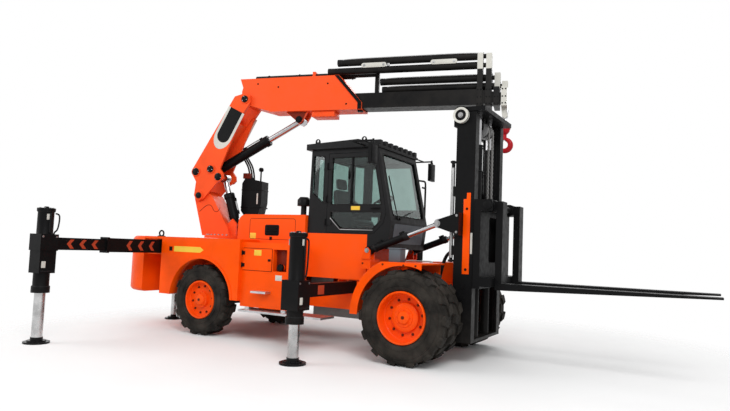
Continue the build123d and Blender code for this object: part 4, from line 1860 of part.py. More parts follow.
# Mid outriggers: one beam each side with its leg
MID_IN_Y = 330.0
for name, sign in SIDES:
    beam_x = MID_BEAM_X - (MID_BEAM_PITCH if sign > 0 else 0)
    leg_place = (beam_x, sign * MID_FOOT_Y)
    with BuildPart() as mid_beam:
        with Locations((beam_x, sign * (MID_IN_Y + MID_FOOT_Y) / 2, MID_BEAM_Z)):
            Box(MID_BEAM_W, MID_FOOT_Y - MID_IN_Y, MID_BEAM_H)
        with Locations((*leg_place, sum(MID_LEG_BOX_Z) / 2)):
            Box(LEG_W, LEG_W, MID_LEG_BOX_Z[1] - MID_LEG_BOX_Z[0])
        with BuildSketch(Plane.XY.offset(MID_LEG_BOTTOM)):
            with Locations(leg_place):
                Circle(LEG_TUBE_R)
        extrude(amount=MID_LEG_TOP - MID_LEG_BOTTOM)
        for low, high in (
            (MID_LEG_BOTTOM, MID_LEG_BOTTOM + LEG_COLLAR_H),
            (MID_LEG_TOP - LEG_CAP_T, MID_LEG_TOP),
        ):
            with BuildSketch(Plane.XY.offset(low)):
                with Locations(leg_place):
                    Circle(leg_cap_r)
            extrude(amount=high - low)
        with BuildSketch(Plane.XY.offset(MID_LEG_BOTTOM)):
            with Locations(leg_place):
                Circle(LEG_ROD_R + SEAT_GAP)
        extrude(amount=MID_LEG_TOP - MID_LEG_BOTTOM - LEG_CAP_T, mode=Mode.SUBTRACT)
    write(mid_beam.part, f"mid_beam_{name}")
    with BuildPart() as leg_rod:
        foot_z = 0.0
        for step_r, step_h in FOOT_STEPS:
            with BuildSketch(Plane.XY.offset(foot_z)):
                with Locations(leg_place):
                    Circle(step_r)
            extrude(amount=step_h)
            foot_z += step_h
        with BuildSketch(Plane.XY.offset(FOOT_H)):
            with Locations(leg_place):
                Circle(LEG_ROD_R)
        extrude(amount=MID_LEG_BOTTOM + LEG_ROD_HOLD - FOOT_H)
    write(leg_rod.part, f"mid_leg_{name}")

# Rear jack under the counterweight
with BuildPart() as jack_rod:
    foot_z = 0.0
    for step_r, step_h in JACK_FOOT_STEPS:
        with BuildSketch(Plane.XY.offset(foot_z)):
            with Locations((JACK_X, 0)):
                Circle(step_r)
        extrude(amount=step_h)
        foot_z += step_h
    with BuildSketch(Plane.XY.offset(foot_z)):
        with Locations((JACK_X, 0)):
            Circle(JACK_ROD_R)
    extrude(amount=JACK_ROD_L)
write(jack_rod.part, "jack_rod")
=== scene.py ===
"""Crane forklift: finishes, fittings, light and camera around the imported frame. Metres, +X forward, +Z up."""
from math import atan2, cos, pi, radians, sin

import bmesh
import bpy
from mathutils import Matrix, Vector


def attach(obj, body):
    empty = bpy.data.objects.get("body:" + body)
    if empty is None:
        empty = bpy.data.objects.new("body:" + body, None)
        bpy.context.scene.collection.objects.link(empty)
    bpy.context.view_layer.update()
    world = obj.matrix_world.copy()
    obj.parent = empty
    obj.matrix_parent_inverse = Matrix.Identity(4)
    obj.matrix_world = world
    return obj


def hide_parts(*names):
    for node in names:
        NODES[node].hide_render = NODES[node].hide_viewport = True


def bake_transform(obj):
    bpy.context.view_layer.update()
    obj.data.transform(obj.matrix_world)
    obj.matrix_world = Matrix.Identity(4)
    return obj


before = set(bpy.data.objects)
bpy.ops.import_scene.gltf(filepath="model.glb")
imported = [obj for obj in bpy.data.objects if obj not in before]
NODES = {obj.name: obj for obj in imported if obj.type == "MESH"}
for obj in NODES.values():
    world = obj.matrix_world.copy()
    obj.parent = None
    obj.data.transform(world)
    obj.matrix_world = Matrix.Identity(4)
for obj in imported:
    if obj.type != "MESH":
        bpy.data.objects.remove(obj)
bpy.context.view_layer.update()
SIGNS = (1, -1)
SIDES = (("left", 1), ("right", -1))
FACES = (-1, 1)
X, Y, UP = Vector((1, 0, 0)), Vector((0, 1, 0)), Vector((0, 0, 1))

# Camera, as solved from the photograph
CAMERA_PLACE = Vector((4.327, -8.231, 1.487))
CAMERA_AZIMUTH = radians(29.174)
CAMERA_PITCH = radians(4.058)
CAMERA_ROLL = radians(2.301)
CAMERA_LENS = 29.316

# Studio
SURROUND_LIGHT, SURROUND_SEEN = 0.62, 1.0
FLOOR_HALF, FLOOR_Z = 60.0, -0.0005
FLOOR_FADE = (3.6, 6.4)
LAMPS = (  # name, place, aim, size, watts
    ("key", (6.0, -9.0, 9.0), (0.0, 0.0, 1.5), 6.0, 900.0),
    ("fill", (-9.0, -8.0, 6.0), (-1.0, 0.0, 1.5), 7.0, 420.0),
    ("back", (-3.0, 10.0, 9.0), (-1.0, 0.0, 1.5), 7.0, 380.0),
)

# Crane frame: slew axis and the boom's bearing at rest
CRANE_X = -3.190
SLEW = radians(13.0)
BOOM_DIR = Vector((cos(SLEW), sin(SLEW), 0))
BOOM_FAR = Vector((-sin(SLEW), cos(SLEW), 0))

# Colours, linear
ORANGE = (0.92, 0.082, 0.0008)
CRANE_RED = (0.88, 0.090, 0.018)
BLACK = (0.0045, 0.0045, 0.0048)
CHARCOAL = (0.0125, 0.0125, 0.013)
DUST = (0.20, 0.17, 0.14)
SILVER = (0.62, 0.63, 0.64)
PALE = (0.58, 0.57, 0.52)
YELLOW = (0.80, 0.52, 0.06)
CRIMSON = (0.42, 0.012, 0.018)
TYRE = (0.0085, 0.0075, 0.0065)
DUST_TOP = 0.95  # height at which road dust ends
ENAMEL_SHINE = 0.08


def boom_point(r, lateral, z):
    """Point in the crane's frame: r along the boom, lateral to its far side, z above ground."""
    return Vector((CRANE_X, 0, 0)) + r * BOOM_DIR + lateral * BOOM_FAR + z * UP


class Graph:
    """A material's node tree, with short calls for the nodes that the finishes share."""

    def __init__(self, name):
        self.material = bpy.data.materials.new(name)
        self.material.use_nodes = True
        self.tree = self.material.node_tree
        self.shader = self.tree.nodes["Principled BSDF"]
        self.place = self.node("ShaderNodeTexCoord").outputs["Object"]

    def node(self, kind, values=(), **settings):
        made = self.tree.nodes.new(kind)
        for key, value in settings.items():
            setattr(made, key, value)
        for key, value in dict(values).items():
            made.inputs[key].default_value = value
        return made

    def link(self, source, target):
        self.tree.links.new(source, target)

    def noise(self, scale, detail=4.0):
        made = self.node("ShaderNodeTexNoise", {"Scale": scale, "Detail": detail, "Roughness": 0.55})
        self.link(self.place, made.inputs["Vector"])
        return made.outputs["Fac"]

    def ramp(self, source, low, high, from_low=0.3, from_high=0.7):
        made = self.node("ShaderNodeMapRange", {"From Min": from_low, "From Max": from_high,
                                                "To Min": low, "To Max": high})
        self.link(source, made.inputs["Value"])
        return made.outputs["Result"]

    def patches(self, scale, low, high, detail=4.0):
        """Value that wanders between two limits."""
        return self.ramp(self.noise(scale, detail), low, high)

    def mottle(self, scale, a, b, detail=4.0):
        """Colour that wanders between two others."""
        return self.mix(self.patches(scale, 0.0, 1.0, detail), a, b)

    def along(self, direction):
        """Distance of each point along a direction, in the object's frame."""
        made = self.node("ShaderNodeVectorMath", {1: direction}, operation="DOT_PRODUCT")
        self.link(self.place, made.inputs[0])
        return made.outputs["Value"]

    def step(self, direction, start, blur=0.001):
        """0 before a distance along a direction, 1 past it."""
        return self.ramp(self.along(direction), 0.0, 1.0, start - blur, start + blur)

    def times(self, a, b):
        made = self.node("ShaderNodeMath", operation="MULTIPLY")
        self.link(a, made.inputs[0])
        self.link(b, made.inputs[1])
        return made.outputs[0]

    def mix(self, factor, a, b):
        """Mix of two colours, each a constant or another node's output."""
        made = self.node("ShaderNodeMix", data_type="RGBA")
        self.link(factor, made.inputs["Factor"])
        for value, socket in ((a, made.inputs[6]), (b, made.inputs[7])):
            if isinstance(value, tuple):
                socket.default_value = (*value, 1)
            else:
                self.link(value, socket)
        return made.outputs[2]

    def bump(self, height, strength, distance):
        made = self.node("ShaderNodeBump", {"Strength": strength, "Distance": distance})
        self.link(height, made.inputs["Height"])
        self.link(made.outputs["Normal"], self.shader.inputs["Normal"])

    def orange_peel(self):
        self.bump(self.noise(420.0, 2.0), 0.05, 0.001)

    def finish(self, colour, roughness, metallic=0.0, coat=0.0, specular=0.5):
        self.link(colour, self.shader.inputs["Base Color"])
        self.link(roughness, self.shader.inputs["Roughness"])
        self.shader.inputs["Metallic"].default_value = metallic
        self.shader.inputs["Coat Weight"].default_value = coat
        self.shader.inputs["Specular IOR Level"].default_value = specular
        return self.material


def shade(colour, factor):
    return tuple(min(1.0, c * factor) for c in colour)


def paint(name, colour, gloss=0.32, coat=0.04, dust=0.12):
    """Sprayed enamel: slight patchiness, orange peel and road dust low down."""
    graph = Graph(name)
    tone = graph.mottle(2.2, shade(colour, 0.86), shade(colour, 1.06))
    low = graph.ramp(graph.along(UP), dust, 0.0, 0.0, DUST_TOP)
    tone = graph.mix(graph.times(low, graph.patches(7.0, 0.2, 1.0, 8.0)), tone, DUST)
    rough = graph.patches(14.0, gloss - 0.06, gloss + 0.14, 6.0)
    graph.orange_peel()
    return graph.finish(tone, rough, coat=coat, specular=ENAMEL_SHINE)


def two_tone(name, colour, other, direction, start, floor=None):
    """Enamel that changes colour past a distance along a direction, and only above a floor."""
    graph = Graph(name)
    if floor is not None:
        other = graph.mix(graph.step(UP, floor), colour, other)
    tone = graph.mix(graph.step(direction, start), colour, other)
    tone = graph.mix(graph.patches(3.0, 0.0, 0.05), tone, DUST)
    rough = graph.patches(16.0, 0.30, 0.46, 6.0)
    graph.orange_peel()
    return graph.finish(tone, rough, coat=0.02, specular=ENAMEL_SHINE)


def metal(name, colour, low, high, grain=60.0, bump=0.05):
    """Bare or plated metal with fine streaks in its gloss."""
    graph = Graph(name)
    tone = graph.mottle(5.0, shade(colour, 0.82), colour)
    graph.bump(graph.noise(grain * 4, 3.0), bump, 0.0008)
    return graph.finish(tone, graph.patches(grain, low, high, 6.0), metallic=1.0)


def leg(name):
    """Plated rod on a black foot, with oil streaks."""
    graph = Graph(name)
    plated = graph.step(UP, 0.085, 0.002)
    rod = graph.mottle(6.0, (0.36, 0.36, 0.36), (0.62, 0.62, 0.62))
    graph.link(plated, graph.shader.inputs["Metallic"])
    graph.bump(graph.noise(120.0, 3.0), 0.04, 0.0008)
    tone = graph.mix(plated, shade(BLACK, 2.0), rod)
    return graph.finish(tone, graph.patches(24.0, 0.16, 0.34, 6.0), specular=0.10)


def rubber(name, colour, dust):
    """Dull rubber with a film of dust in patches."""
    graph = Graph(name)
    tone = graph.mottle(9.0, shade(colour, 0.7), shade(colour, 1.6), 8.0)
    film = graph.ramp(graph.noise(5.0, 10.0), 0.0, dust, 0.35, 0.75)
    graph.bump(graph.noise(160.0, 6.0), 0.35, 0.002)
    return graph.finish(graph.mix(film, tone, DUST), graph.patches(30.0, 0.62, 0.9, 6.0), specular=0.12)


def tinted_glass(name):
    graph = Graph(name)
    tone = graph.mottle(1.4, (0.34, 0.47, 0.44), (0.46, 0.58, 0.55))
    graph.shader.inputs["Transmission Weight"].default_value = 1.0
    graph.shader.inputs["IOR"].default_value = 1.45
    return graph.finish(tone, graph.patches(8.0, 0.0, 0.05, 8.0))


def tread_plate(name):
    """Aluminium plate with raised bars."""
    graph = Graph(name)
    wave = graph.node("ShaderNodeTexWave", {"Scale": 22.0}, wave_type="BANDS", bands_direction="DIAGONAL")
    graph.link(graph.place, wave.inputs["Vector"])
    graph.bump(graph.ramp(wave.outputs["Fac"], 0.0, 1.0, 0.6, 0.9), 0.5, 0.004)
    tone = graph.mottle(6.0, shade(SILVER, 0.7), SILVER, 8.0)
    return graph.finish(tone, graph.patches(40.0, 0.28, 0.5, 6.0), metallic=1.0)


def upholstery(name):
    graph = Graph(name)
    tone = graph.mottle(40.0, (0.012, 0.012, 0.013), (0.03, 0.03, 0.032), 6.0)
    graph.bump(graph.noise(260.0, 4.0), 0.4, 0.0015)
    return graph.finish(tone, graph.patches(60.0, 0.45, 0.65))


FINISH = {  # name: the slot of pieces that wear it, and its material
    "orange": ("orange_paint", paint("body_orange", ORANGE)),
    "crane": ("crane_paint", paint("crane_red_orange", CRANE_RED, dust=0.05)),
    "black": ("black_paint", paint("black_enamel", BLACK, gloss=0.38, coat=0.0, dust=0.08)),
    "charcoal": ("dark_grey_paint", paint("cab_charcoal", CHARCOAL, gloss=0.42, coat=0.0, dust=0.05)),
    "pale": ("grey_steel", paint("pale_enamel", PALE, gloss=0.38, dust=0.05)),
    "yellow": ("orange_paint", paint("plate_yellow", YELLOW, gloss=0.4, dust=0.05)),
    "crimson": ("crane_paint", paint("hook_crimson", CRIMSON, gloss=0.3, dust=0.0)),
    # Crane red darkened to its look in shadow: painted shade, worn by the filler recess plates, column seams, valve
    # and fold lugs
    "dark_red": ("crane_paint", paint("painted_shade_red", (0.16, 0.016, 0.006), gloss=0.5, dust=0.1)),
    "chrome": (None, metal("chromed_steel", (0.46, 0.46, 0.47), 0.12, 0.26, grain=30.0, bump=0.02)),
    "steel": ("grey_steel", metal("grey_steel", (0.34, 0.34, 0.34), 0.3, 0.52)),
    "iron": ("chain_steel", metal("oiled_iron", (0.16, 0.155, 0.15), 0.35, 0.6, bump=0.12)),
    "silver": ("plate_aluminium", metal("silver_plate", SILVER, 0.25, 0.45)),
    "tread": ("plate_aluminium", tread_plate("tread_plate")),
    "tyre": ("tyre_rubber", rubber("tyre_rubber", TYRE, 0.16)),
    "hose": ("tyre_rubber", rubber("hose_rubber", (0.007, 0.007, 0.0075), 0.06)),
    "nut": ("grey_steel", paint("nut_dark_red", (0.11, 0.016, 0.004), gloss=0.5, dust=0.1)),
    # Chevron red, darkened to its look in the beams' shadow: real red with painted shade
    "arrow": ("crane_paint", paint("arrow_red_painted_shade", (0.42, 0.055, 0.022), gloss=0.45, dust=0.05)),
    "hood": (None, two_tone("hood_enamel", ORANGE, BLACK, UP, 1.9575)),
    "base": (None, two_tone("cab_base_enamel", ORANGE, BLACK, UP, 1.6900)),
    "boom": (None, two_tone("outer_boom_enamel", CRANE_RED, BLACK, UP, 4.4430)),
    "leg": (None, leg("plated_leg")),
    "glass": (None, tinted_glass("tinted_glass")),
    "seat": ("seat_fabric", upholstery("seat_cover")),
    "lamp": ("grey_steel", metal("lamp_reflector", (0.85, 0.85, 0.83), 0.1, 0.25)),
    "slate": ("dark_grey_paint", paint("slate_enamel", (0.10, 0.115, 0.13), gloss=0.42, dust=0.1)),
    "lens": ("crane_paint", paint("tail_lens", (0.55, 0.010, 0.008), gloss=0.12, coat=0.8, dust=0.0)),
}
M = {name: made for name, (slot, made) in FINISH.items()}


def both(*stems):
    """Left and right names of each stem."""
    return tuple(f"{stem}_{name}" for stem in stems for name, sign in SIDES)


NODE_FINISH = {
    "hood": ("hood",),
    "base": ("cab_base",),
    "boom": ("outer_boom",),
    "leg": both("rear_leg", "mid_leg") + ("jack_rod",),
    "orange": ("chassis_frame", "counterweight", "rear_body", "front_fenders") + both("front_rims", "rear_rim"),
    "crane": ("crane_column", "inner_boom"),
    "black": ("front_axle", "rear_axle", "mast_outer", "mast_inner", "carriage", "forks", "tilt_barrels",
              "crane_tank", "cab_fittings", "lift_cylinder_barrel", "fold_cylinder_barrel")
             + both("knuckle", "rear_beam_inner", "rear_beam_outer", "mid_beam"),
    "charcoal": ("cab_frame", "cab_door", "cab_roof"),
    "chrome": ("tilt_rods", "lift_rods", "lift_cylinder_rod", "fold_cylinder_rod"),
    "iron": ("engine_block", "lift_chains"),
    "tread": ("running_boards",),
    "tyre": both("front_tyres", "rear_tyre"),
    "glass": ("cab_glass", "cab_door_glass"),
    "seat": ("operator_seat",),
    "crimson": ("hook",),
}
STAGES = (  # where the head starts along the boom, the height above which it is pale
    (4.500, 4.455), (4.640, 4.455), (4.770, 4.145), (4.890, None),
)
SOFT_EDGED = {  # edge width: nodes
    0.006: ("counterweight", "rear_body", "hood", "cab_base", "front_fenders", "crane_column", "inner_boom",
            "outer_boom"),
    0.004: ("cab_frame", "cab_door", "cab_roof", "crane_tank", "carriage", "forks", "cab_fittings")
           + both("rear_beam_outer", "mid_beam", "front_rims", "rear_rim"),
}


def set_material(node, material):
    NODES[node].data.materials.clear()
    NODES[node].data.materials.append(material)


def soften(obj, width):
    """Rounds a solid's sharp edges a little, as paint and pressing do."""
    obj.modifiers.new("weld", "WELD").merge_threshold = 0.00005
    bevel = obj.modifiers.new("edge", "BEVEL")
    bevel.width = width
    bevel.segments = 2
    bevel.limit_method = "ANGLE"
    bevel.angle_limit = radians(40.0)
    bevel.use_clamp_overlap = True


def dress():
    """Finishes and softened edges of the CAD nodes."""
    for finish, names in NODE_FINISH.items():
        for name in names:
            set_material(name, M[finish])
    for number, (front, floor) in enumerate(STAGES, 1):
        name = f"extension_{number}"
        start = front + CRANE_X * BOOM_DIR.x
        set_material(name, two_tone(f"{name}_paint", BLACK, PALE, BOOM_DIR, start, floor))
    for width, names in SOFT_EDGED.items():
        for name in names:
            soften(NODES[name], width)


def studio():
    """White surround, pale floor that fades out, and three soft lamps."""
    world = bpy.data.worlds.new("studio")
    bpy.context.scene.world = world
    world.use_nodes = True
    nodes, link = world.node_tree.nodes, world.node_tree.links.new
    plain, seen = nodes["Background"], nodes.new("ShaderNodeBackground")
    for node, strength in ((plain, SURROUND_LIGHT), (seen, SURROUND_SEEN)):
        node.inputs["Color"].default_value = (1, 1, 1, 1)
        node.inputs["Strength"].default_value = strength
    path = nodes.new("ShaderNodeLightPath")
    rays = path.outputs["Is Camera Ray"]
    for other in ("Is Glossy Ray", "Is Transmission Ray"):
        either = nodes.new("ShaderNodeMath")
        either.operation = "MAXIMUM"
        link(rays, either.inputs[0])
        link(path.outputs[other], either.inputs[1])
        rays = either.outputs[0]
    blend = nodes.new("ShaderNodeMixShader")
    link(rays, blend.inputs["Fac"])
    link(plain.outputs[0], blend.inputs[1])
    link(seen.outputs[0], blend.inputs[2])
    link(blend.outputs[0], nodes["World Output"].inputs["Surface"])

    mesh = bpy.data.meshes.new("floor")
    corners = [(a * FLOOR_HALF, b * FLOOR_HALF, 0) for a, b in ((-1, -1), (1, -1), (1, 1), (-1, 1))]
    mesh.from_pydata(corners, [], [(0, 1, 2, 3)])
    floor = bpy.data.objects.new("floor", mesh)
    floor.location.z = FLOOR_Z
    bpy.context.scene.collection.objects.link(floor)
    graph = Graph("floor_pale")
    tone = graph.mottle(0.4, (0.86, 0.86, 0.86), (0.9, 0.9, 0.9))
    mesh.materials.append(graph.finish(tone, graph.patches(3.0, 0.75, 0.9)))
    reach = graph.node("ShaderNodeVectorMath", operation="LENGTH")
    graph.link(graph.place, reach.inputs[0])
    clear = graph.node("ShaderNodeBsdfTransparent")
    fade = graph.node("ShaderNodeMixShader")
    graph.link(graph.ramp(reach.outputs["Value"], 0.0, 1.0, *FLOOR_FADE), fade.inputs["Fac"])
    graph.link(graph.shader.outputs[0], fade.inputs[1])
    graph.link(clear.outputs[0], fade.inputs[2])
    graph.link(fade.outputs[0], graph.tree.nodes["Material Output"].inputs["Surface"])

    for name, place, aim, size, watts in LAMPS:
        data = bpy.data.lights.new(name, "AREA")
        data.shape = "DISK"
        data.size = size
        data.energy = watts
        lamp = bpy.data.objects.new(name, data)
        lamp.location = place
        lamp.rotation_euler = (Vector(aim) - Vector(place)).to_track_quat("-Z", "Y").to_euler()
        bpy.context.scene.collection.objects.link(lamp)


def camera():
    """The photograph's camera."""
    level = Vector((cos(CAMERA_AZIMUTH), sin(CAMERA_AZIMUTH), 0))
    forward = Vector((-level.y * cos(CAMERA_PITCH), level.x * cos(CAMERA_PITCH), sin(CAMERA_PITCH)))
    upright = level.cross(forward)
    right = cos(CAMERA_ROLL) * level + sin(CAMERA_ROLL) * upright
    top = cos(CAMERA_ROLL) * upright - sin(CAMERA_ROLL) * level
    data = bpy.data.cameras.new("photo_camera")
    data.sensor_width = 36.0
    data.lens = CAMERA_LENS
    data.clip_end = 200.0
    made = bpy.data.objects.new("photo_camera", data)
    turn = Matrix((right, top, -forward)).transposed().to_4x4()
    made.matrix_world = Matrix.Translation(CAMERA_PLACE) @ turn
    bpy.context.scene.collection.objects.link(made)
    bpy.context.scene.camera = made


def place(obj, body, finish):
    """Gives an object its finish and lets it ride on a body."""
    bpy.context.scene.collection.objects.link(obj)
    obj.data.materials.append(M[finish])
    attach(obj, body)
    return obj


def axes(axis):
    """Two unit vectors square to an axis."""
    axis = Vector(axis).normalized()
    side = axis.orthogonal().normalized()
    return side, axis.cross(side)


class Piece:
    """A fitting gathered from simple forms in one mesh: one finish, riding on one body."""

    def __init__(self, name, body, finish):
        self.name = name
        self.body = body
        self.finish = finish
        self.bm = bmesh.new()

    def block(self, centre, size, u=X, v=Y, edge=0.003):
        """Box with softened edges; u and v point along its first two sizes."""
        u, v = Vector(u), Vector(v)
        turn = Matrix((u * size[0], v * size[1], u.cross(v) * size[2])).transposed().to_4x4()
        made = bmesh.ops.create_cube(self.bm, size=1.0, matrix=Matrix.Translation(Vector(centre)) @ turn)
        return self.round_off(made["verts"], edge)

    def plate(self, centre, size):
        """Thin blank plate."""
        return self.block(centre, size, edge=0.001)

    def boom_block(self, r, lateral, z, size, edge=0.004):
        return self.block(boom_point(r, lateral, z), size, BOOM_DIR, BOOM_FAR, edge)

    def round_off(self, verts, edge):
        if edge:
            edges = list({e for v in verts for e in v.link_edges})
            bmesh.ops.bevel(self.bm, geom=edges, offset=edge, segments=2, profile=0.5, affect="EDGES")
        return self

    def prism(self, outline, origin, u, v, depth, edge=0.0):
        """Outline in the plane of u and v, thickened along their normal."""
        u, v = Vector(u), Vector(v)
        w = u.cross(v).normalized() * depth
        base = [self.bm.verts.new(Vector(origin) + a * u + b * v) for a, b in outline]
        top = [self.bm.verts.new(p.co + w) for p in base]
        self.bm.faces.new(list(reversed(base)))
        self.bm.faces.new(top)
        for i in range(len(base)):
            j = (i + 1) % len(base)
            self.bm.faces.new((base[i], base[j], top[j], top[i]))
        return self.round_off(base + top, edge)

    def boom_prism(self, outline, lateral, depth, edge=0.0):
        """Outline of (r, z) in the boom's plane, thickened to its near side."""
        return self.prism(outline, boom_point(0, lateral, 0), BOOM_DIR, UP, depth, edge)

    def boom_plates(self, outline, half, thick):
        """The same plate on both sides of the boom."""
        for lateral in (-half, half + thick):
            self.boom_prism(outline, lateral, thick)
        return self

    def rod(self, start, end, radius, end_radius=None, sides=24):
        start, end = Vector(start), Vector(end)
        run = end - start
        turn = run.to_track_quat("Z", "Y").to_matrix().to_4x4()
        bmesh.ops.create_cone(
            self.bm, cap_ends=True, segments=sides, radius1=radius,
            radius2=radius if end_radius is None else end_radius, depth=run.length,
            matrix=Matrix.Translation((start + end) / 2) @ turn)
        return self

    def lathe(self, profile, origin, axis, sides=36, closed=False):
        """Turned form: profile of (radius, height along the axis)."""
        axis = Vector(axis).normalized()
        side, other = axes(axis)
        turns = [2 * pi * i / sides for i in range(sides)]
        spokes = [side * cos(t) + other * sin(t) for t in turns]
        rings = []
        for radius, height in profile:
            centre = Vector(origin) + height * axis
            rings.append([self.bm.verts.new(centre + radius * s) for s in (spokes if radius else spokes[:1])])
        pairs = list(zip(rings, rings[1:])) + ([(rings[-1], rings[0])] if closed else [])
        for low, high in pairs:
            for i in range(sides):
                j = (i + 1) % sides
                quad = [low[i % len(low)], low[j % len(low)], high[j % len(high)], high[i % len(high)]]
                self.bm.faces.new(list(dict.fromkeys(quad)))
        return self

    def ring(self, centre, axis, major, minor, sides=48):
        steps = [2 * pi * i / 10 for i in range(10)]
        outline = [(major + minor * cos(t), minor * sin(t)) for t in steps]
        return self.lathe(outline, centre, axis, sides, closed=True)

    def bolts(self, places, axis, radius=0.012, height=0.011):
        """Hexagon heads on washers."""
        axis = Vector(axis).normalized()
        for spot in places:
            spot = Vector(spot)
            self.rod(spot, spot + axis * height * 0.3, radius * 1.4, sides=16)
            self.rod(spot + axis * height * 0.3, spot + axis * height, radius, radius * 0.94, sides=6)
        return self

    def done(self):
        bm = self.bm
        bmesh.ops.recalc_face_normals(bm, faces=bm.faces)
        for face in bm.faces:
            face.smooth = True
        for edge in bm.edges:
            edge.smooth = len(edge.link_faces) == 2 and edge.calc_face_angle() < radians(34)
        mesh = bpy.data.meshes.new(self.name)
        bm.to_mesh(mesh)
        bm.free()
        return place(bpy.data.objects.new(self.name, mesh), self.body, self.finish)


def finish_all(*pieces):
    for piece in pieces:
        piece.done()


def round_places(centre, axis, radius, count):
    """Places spread evenly on a circle."""
    side, other = axes(axis)
    turns = [2 * pi * i / count for i in range(count)]
    return [Vector(centre) + radius * (cos(t) * side + sin(t) * other) for t in turns]


def routes_curve(name, radius, routes, cyclic=False, straight=False):
    data = bpy.data.curves.new(name, "CURVE")
    data.dimensions = "3D"
    data.bevel_depth = radius
    data.bevel_resolution = 3
    data.use_fill_caps = True
    for route in routes:
        spline = data.splines.new("POLY" if straight else "NURBS")
        spline.points.add(len(route) - 1)
        for point, spot in zip(spline.points, route):
            point.co = (*spot, 1)
        spline.use_cyclic_u = cyclic
        if not straight:
            spline.order_u = 3
            spline.use_endpoint_u = True
            spline.resolution_u = 8
    return bpy.data.objects.new(name, data)


def pipes(name, body, finish, radius, routes):
    """Bent pipes or hoses along routes, fixed to one body."""
    place(routes_curve(name, radius, routes), body, finish)


def beads(name, body, finish, radius, outlines):
    """Closed seals, seams or piping along outlines, fixed to one body."""
    place(routes_curve(name, radius, outlines, cyclic=True, straight=True), body, finish)


def flexible(name, finish, radius, routes):
    """Hoses along routes between two jointed bodies, made into one fixed mesh that rides on neither."""
    curve = routes_curve(name, radius, routes)
    mesh = bpy.data.meshes.new_from_object(curve)
    bpy.data.objects.remove(curve)
    mesh.name = name
    mesh.materials.clear()
    mesh.materials.append(M[finish])
    mesh.polygons.foreach_set("use_smooth", [True] * len(mesh.polygons))
    hose = bpy.data.objects.new(name, mesh)
    bpy.context.scene.collection.objects.link(hose)
    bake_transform(hose)


def rounded(a0, a1, b0, b1, radius, steps=5):
    """Rectangle with rounded corners, as an outline."""
    spots = []
    for a, b, turn in ((a1 - radius, b1 - radius, 0), (a0 + radius, b1 - radius, 90),
                       (a0 + radius, b0 + radius, 180), (a1 - radius, b0 + radius, 270)):
        for i in range(steps + 1):
            t = radians(turn + 90 * i / steps)
            spots.append((a + radius * cos(t), b + radius * sin(t)))
    return spots


def on_side(outline, y):
    return [(a, y, b) for a, b in outline]


WHEELS = (  # wheel, body, axle x and z, disc, hub, hub plate, bolt circle, lip radius, lip, sidewall, ribs
    ("front", "front_wheels", (1.05, 0.613), 1.157, 1.227, 0.190, 0.235, 0.327, 1.320, 1.337, (0.515, 0.410)),
    ("rear", "rear_wheel", (-2.59, 0.557), 1.053, 1.113, 0.120, 0.212, 0.287, 1.134, 1.148, (0.460, 0.370)),
)


def wheels():
    """Bolts, hub caps, lock rings and sidewall ribs of the wheels."""
    for wheel, stem, (x, z), disc, hub, plate, bolt_r, lip_r, lip, wall, ribs in WHEELS:
        for name, sign in SIDES:
            body, out = f"{stem}_{name}", sign * Y
            face, middle = Vector((x, sign * disc, z)), Vector((x, sign * hub, z))
            cap = Piece(f"{wheel}_hub_cap_{name}", body, "orange")
            cap.lathe([(plate + 0.006, -0.002), (plate, 0.040), (plate - 0.018, 0.054), (0.122, 0.058),
                       (0.110, 0.058)], face, out, 48)
            cap.lathe([(0.088, -0.004), (0.088, 0.012), (0.074, 0.026), (0.030, 0.034), (0, 0.035)], middle, out)
            cap.bolts(round_places(middle, out, 0.102, 8), out, 0.007, 0.009)
            cap.ring((x, sign * lip, z), out, lip_r, 0.011)
            cap.ring((x, sign * (disc + 0.004), z), out, lip_r - 0.016, 0.014)
            nuts = Piece(f"{wheel}_wheel_nuts_{name}", body, "nut")
            nuts.bolts(round_places(face, out, bolt_r, 10), out, 0.013, 0.022)
            nuts.lathe([(0.022, 0.034), (0.022, 0.040), (0.012, 0.043), (0, 0.043)], middle, out, 24)
            side = Piece(f"{wheel}_sidewall_{name}", body, "tyre")
            for rib in ribs:
                side.ring((x, sign * wall, z), out, rib, 0.007, 64)
            finish_all(cap, nuts, side)


# Mast: places in x, y and z, y on the left side
LIFT_X, LIFT_Y = 1.65, 0.235
GUARD_X, GUARD_Y = 1.435, 0.616
HOSE_SHEAVE_X, HOSE_SHEAVE_Z = 1.545, 3.330
CHAIN_SHEAVE_X, CHAIN_SHEAVE_Y, CHAIN_SHEAVE_Z = 1.655, 0.09, 3.225
FORK_SHAFT_X, FORK_SHAFT_Z = 1.95, 2.11
WRAP_LINKS = 11


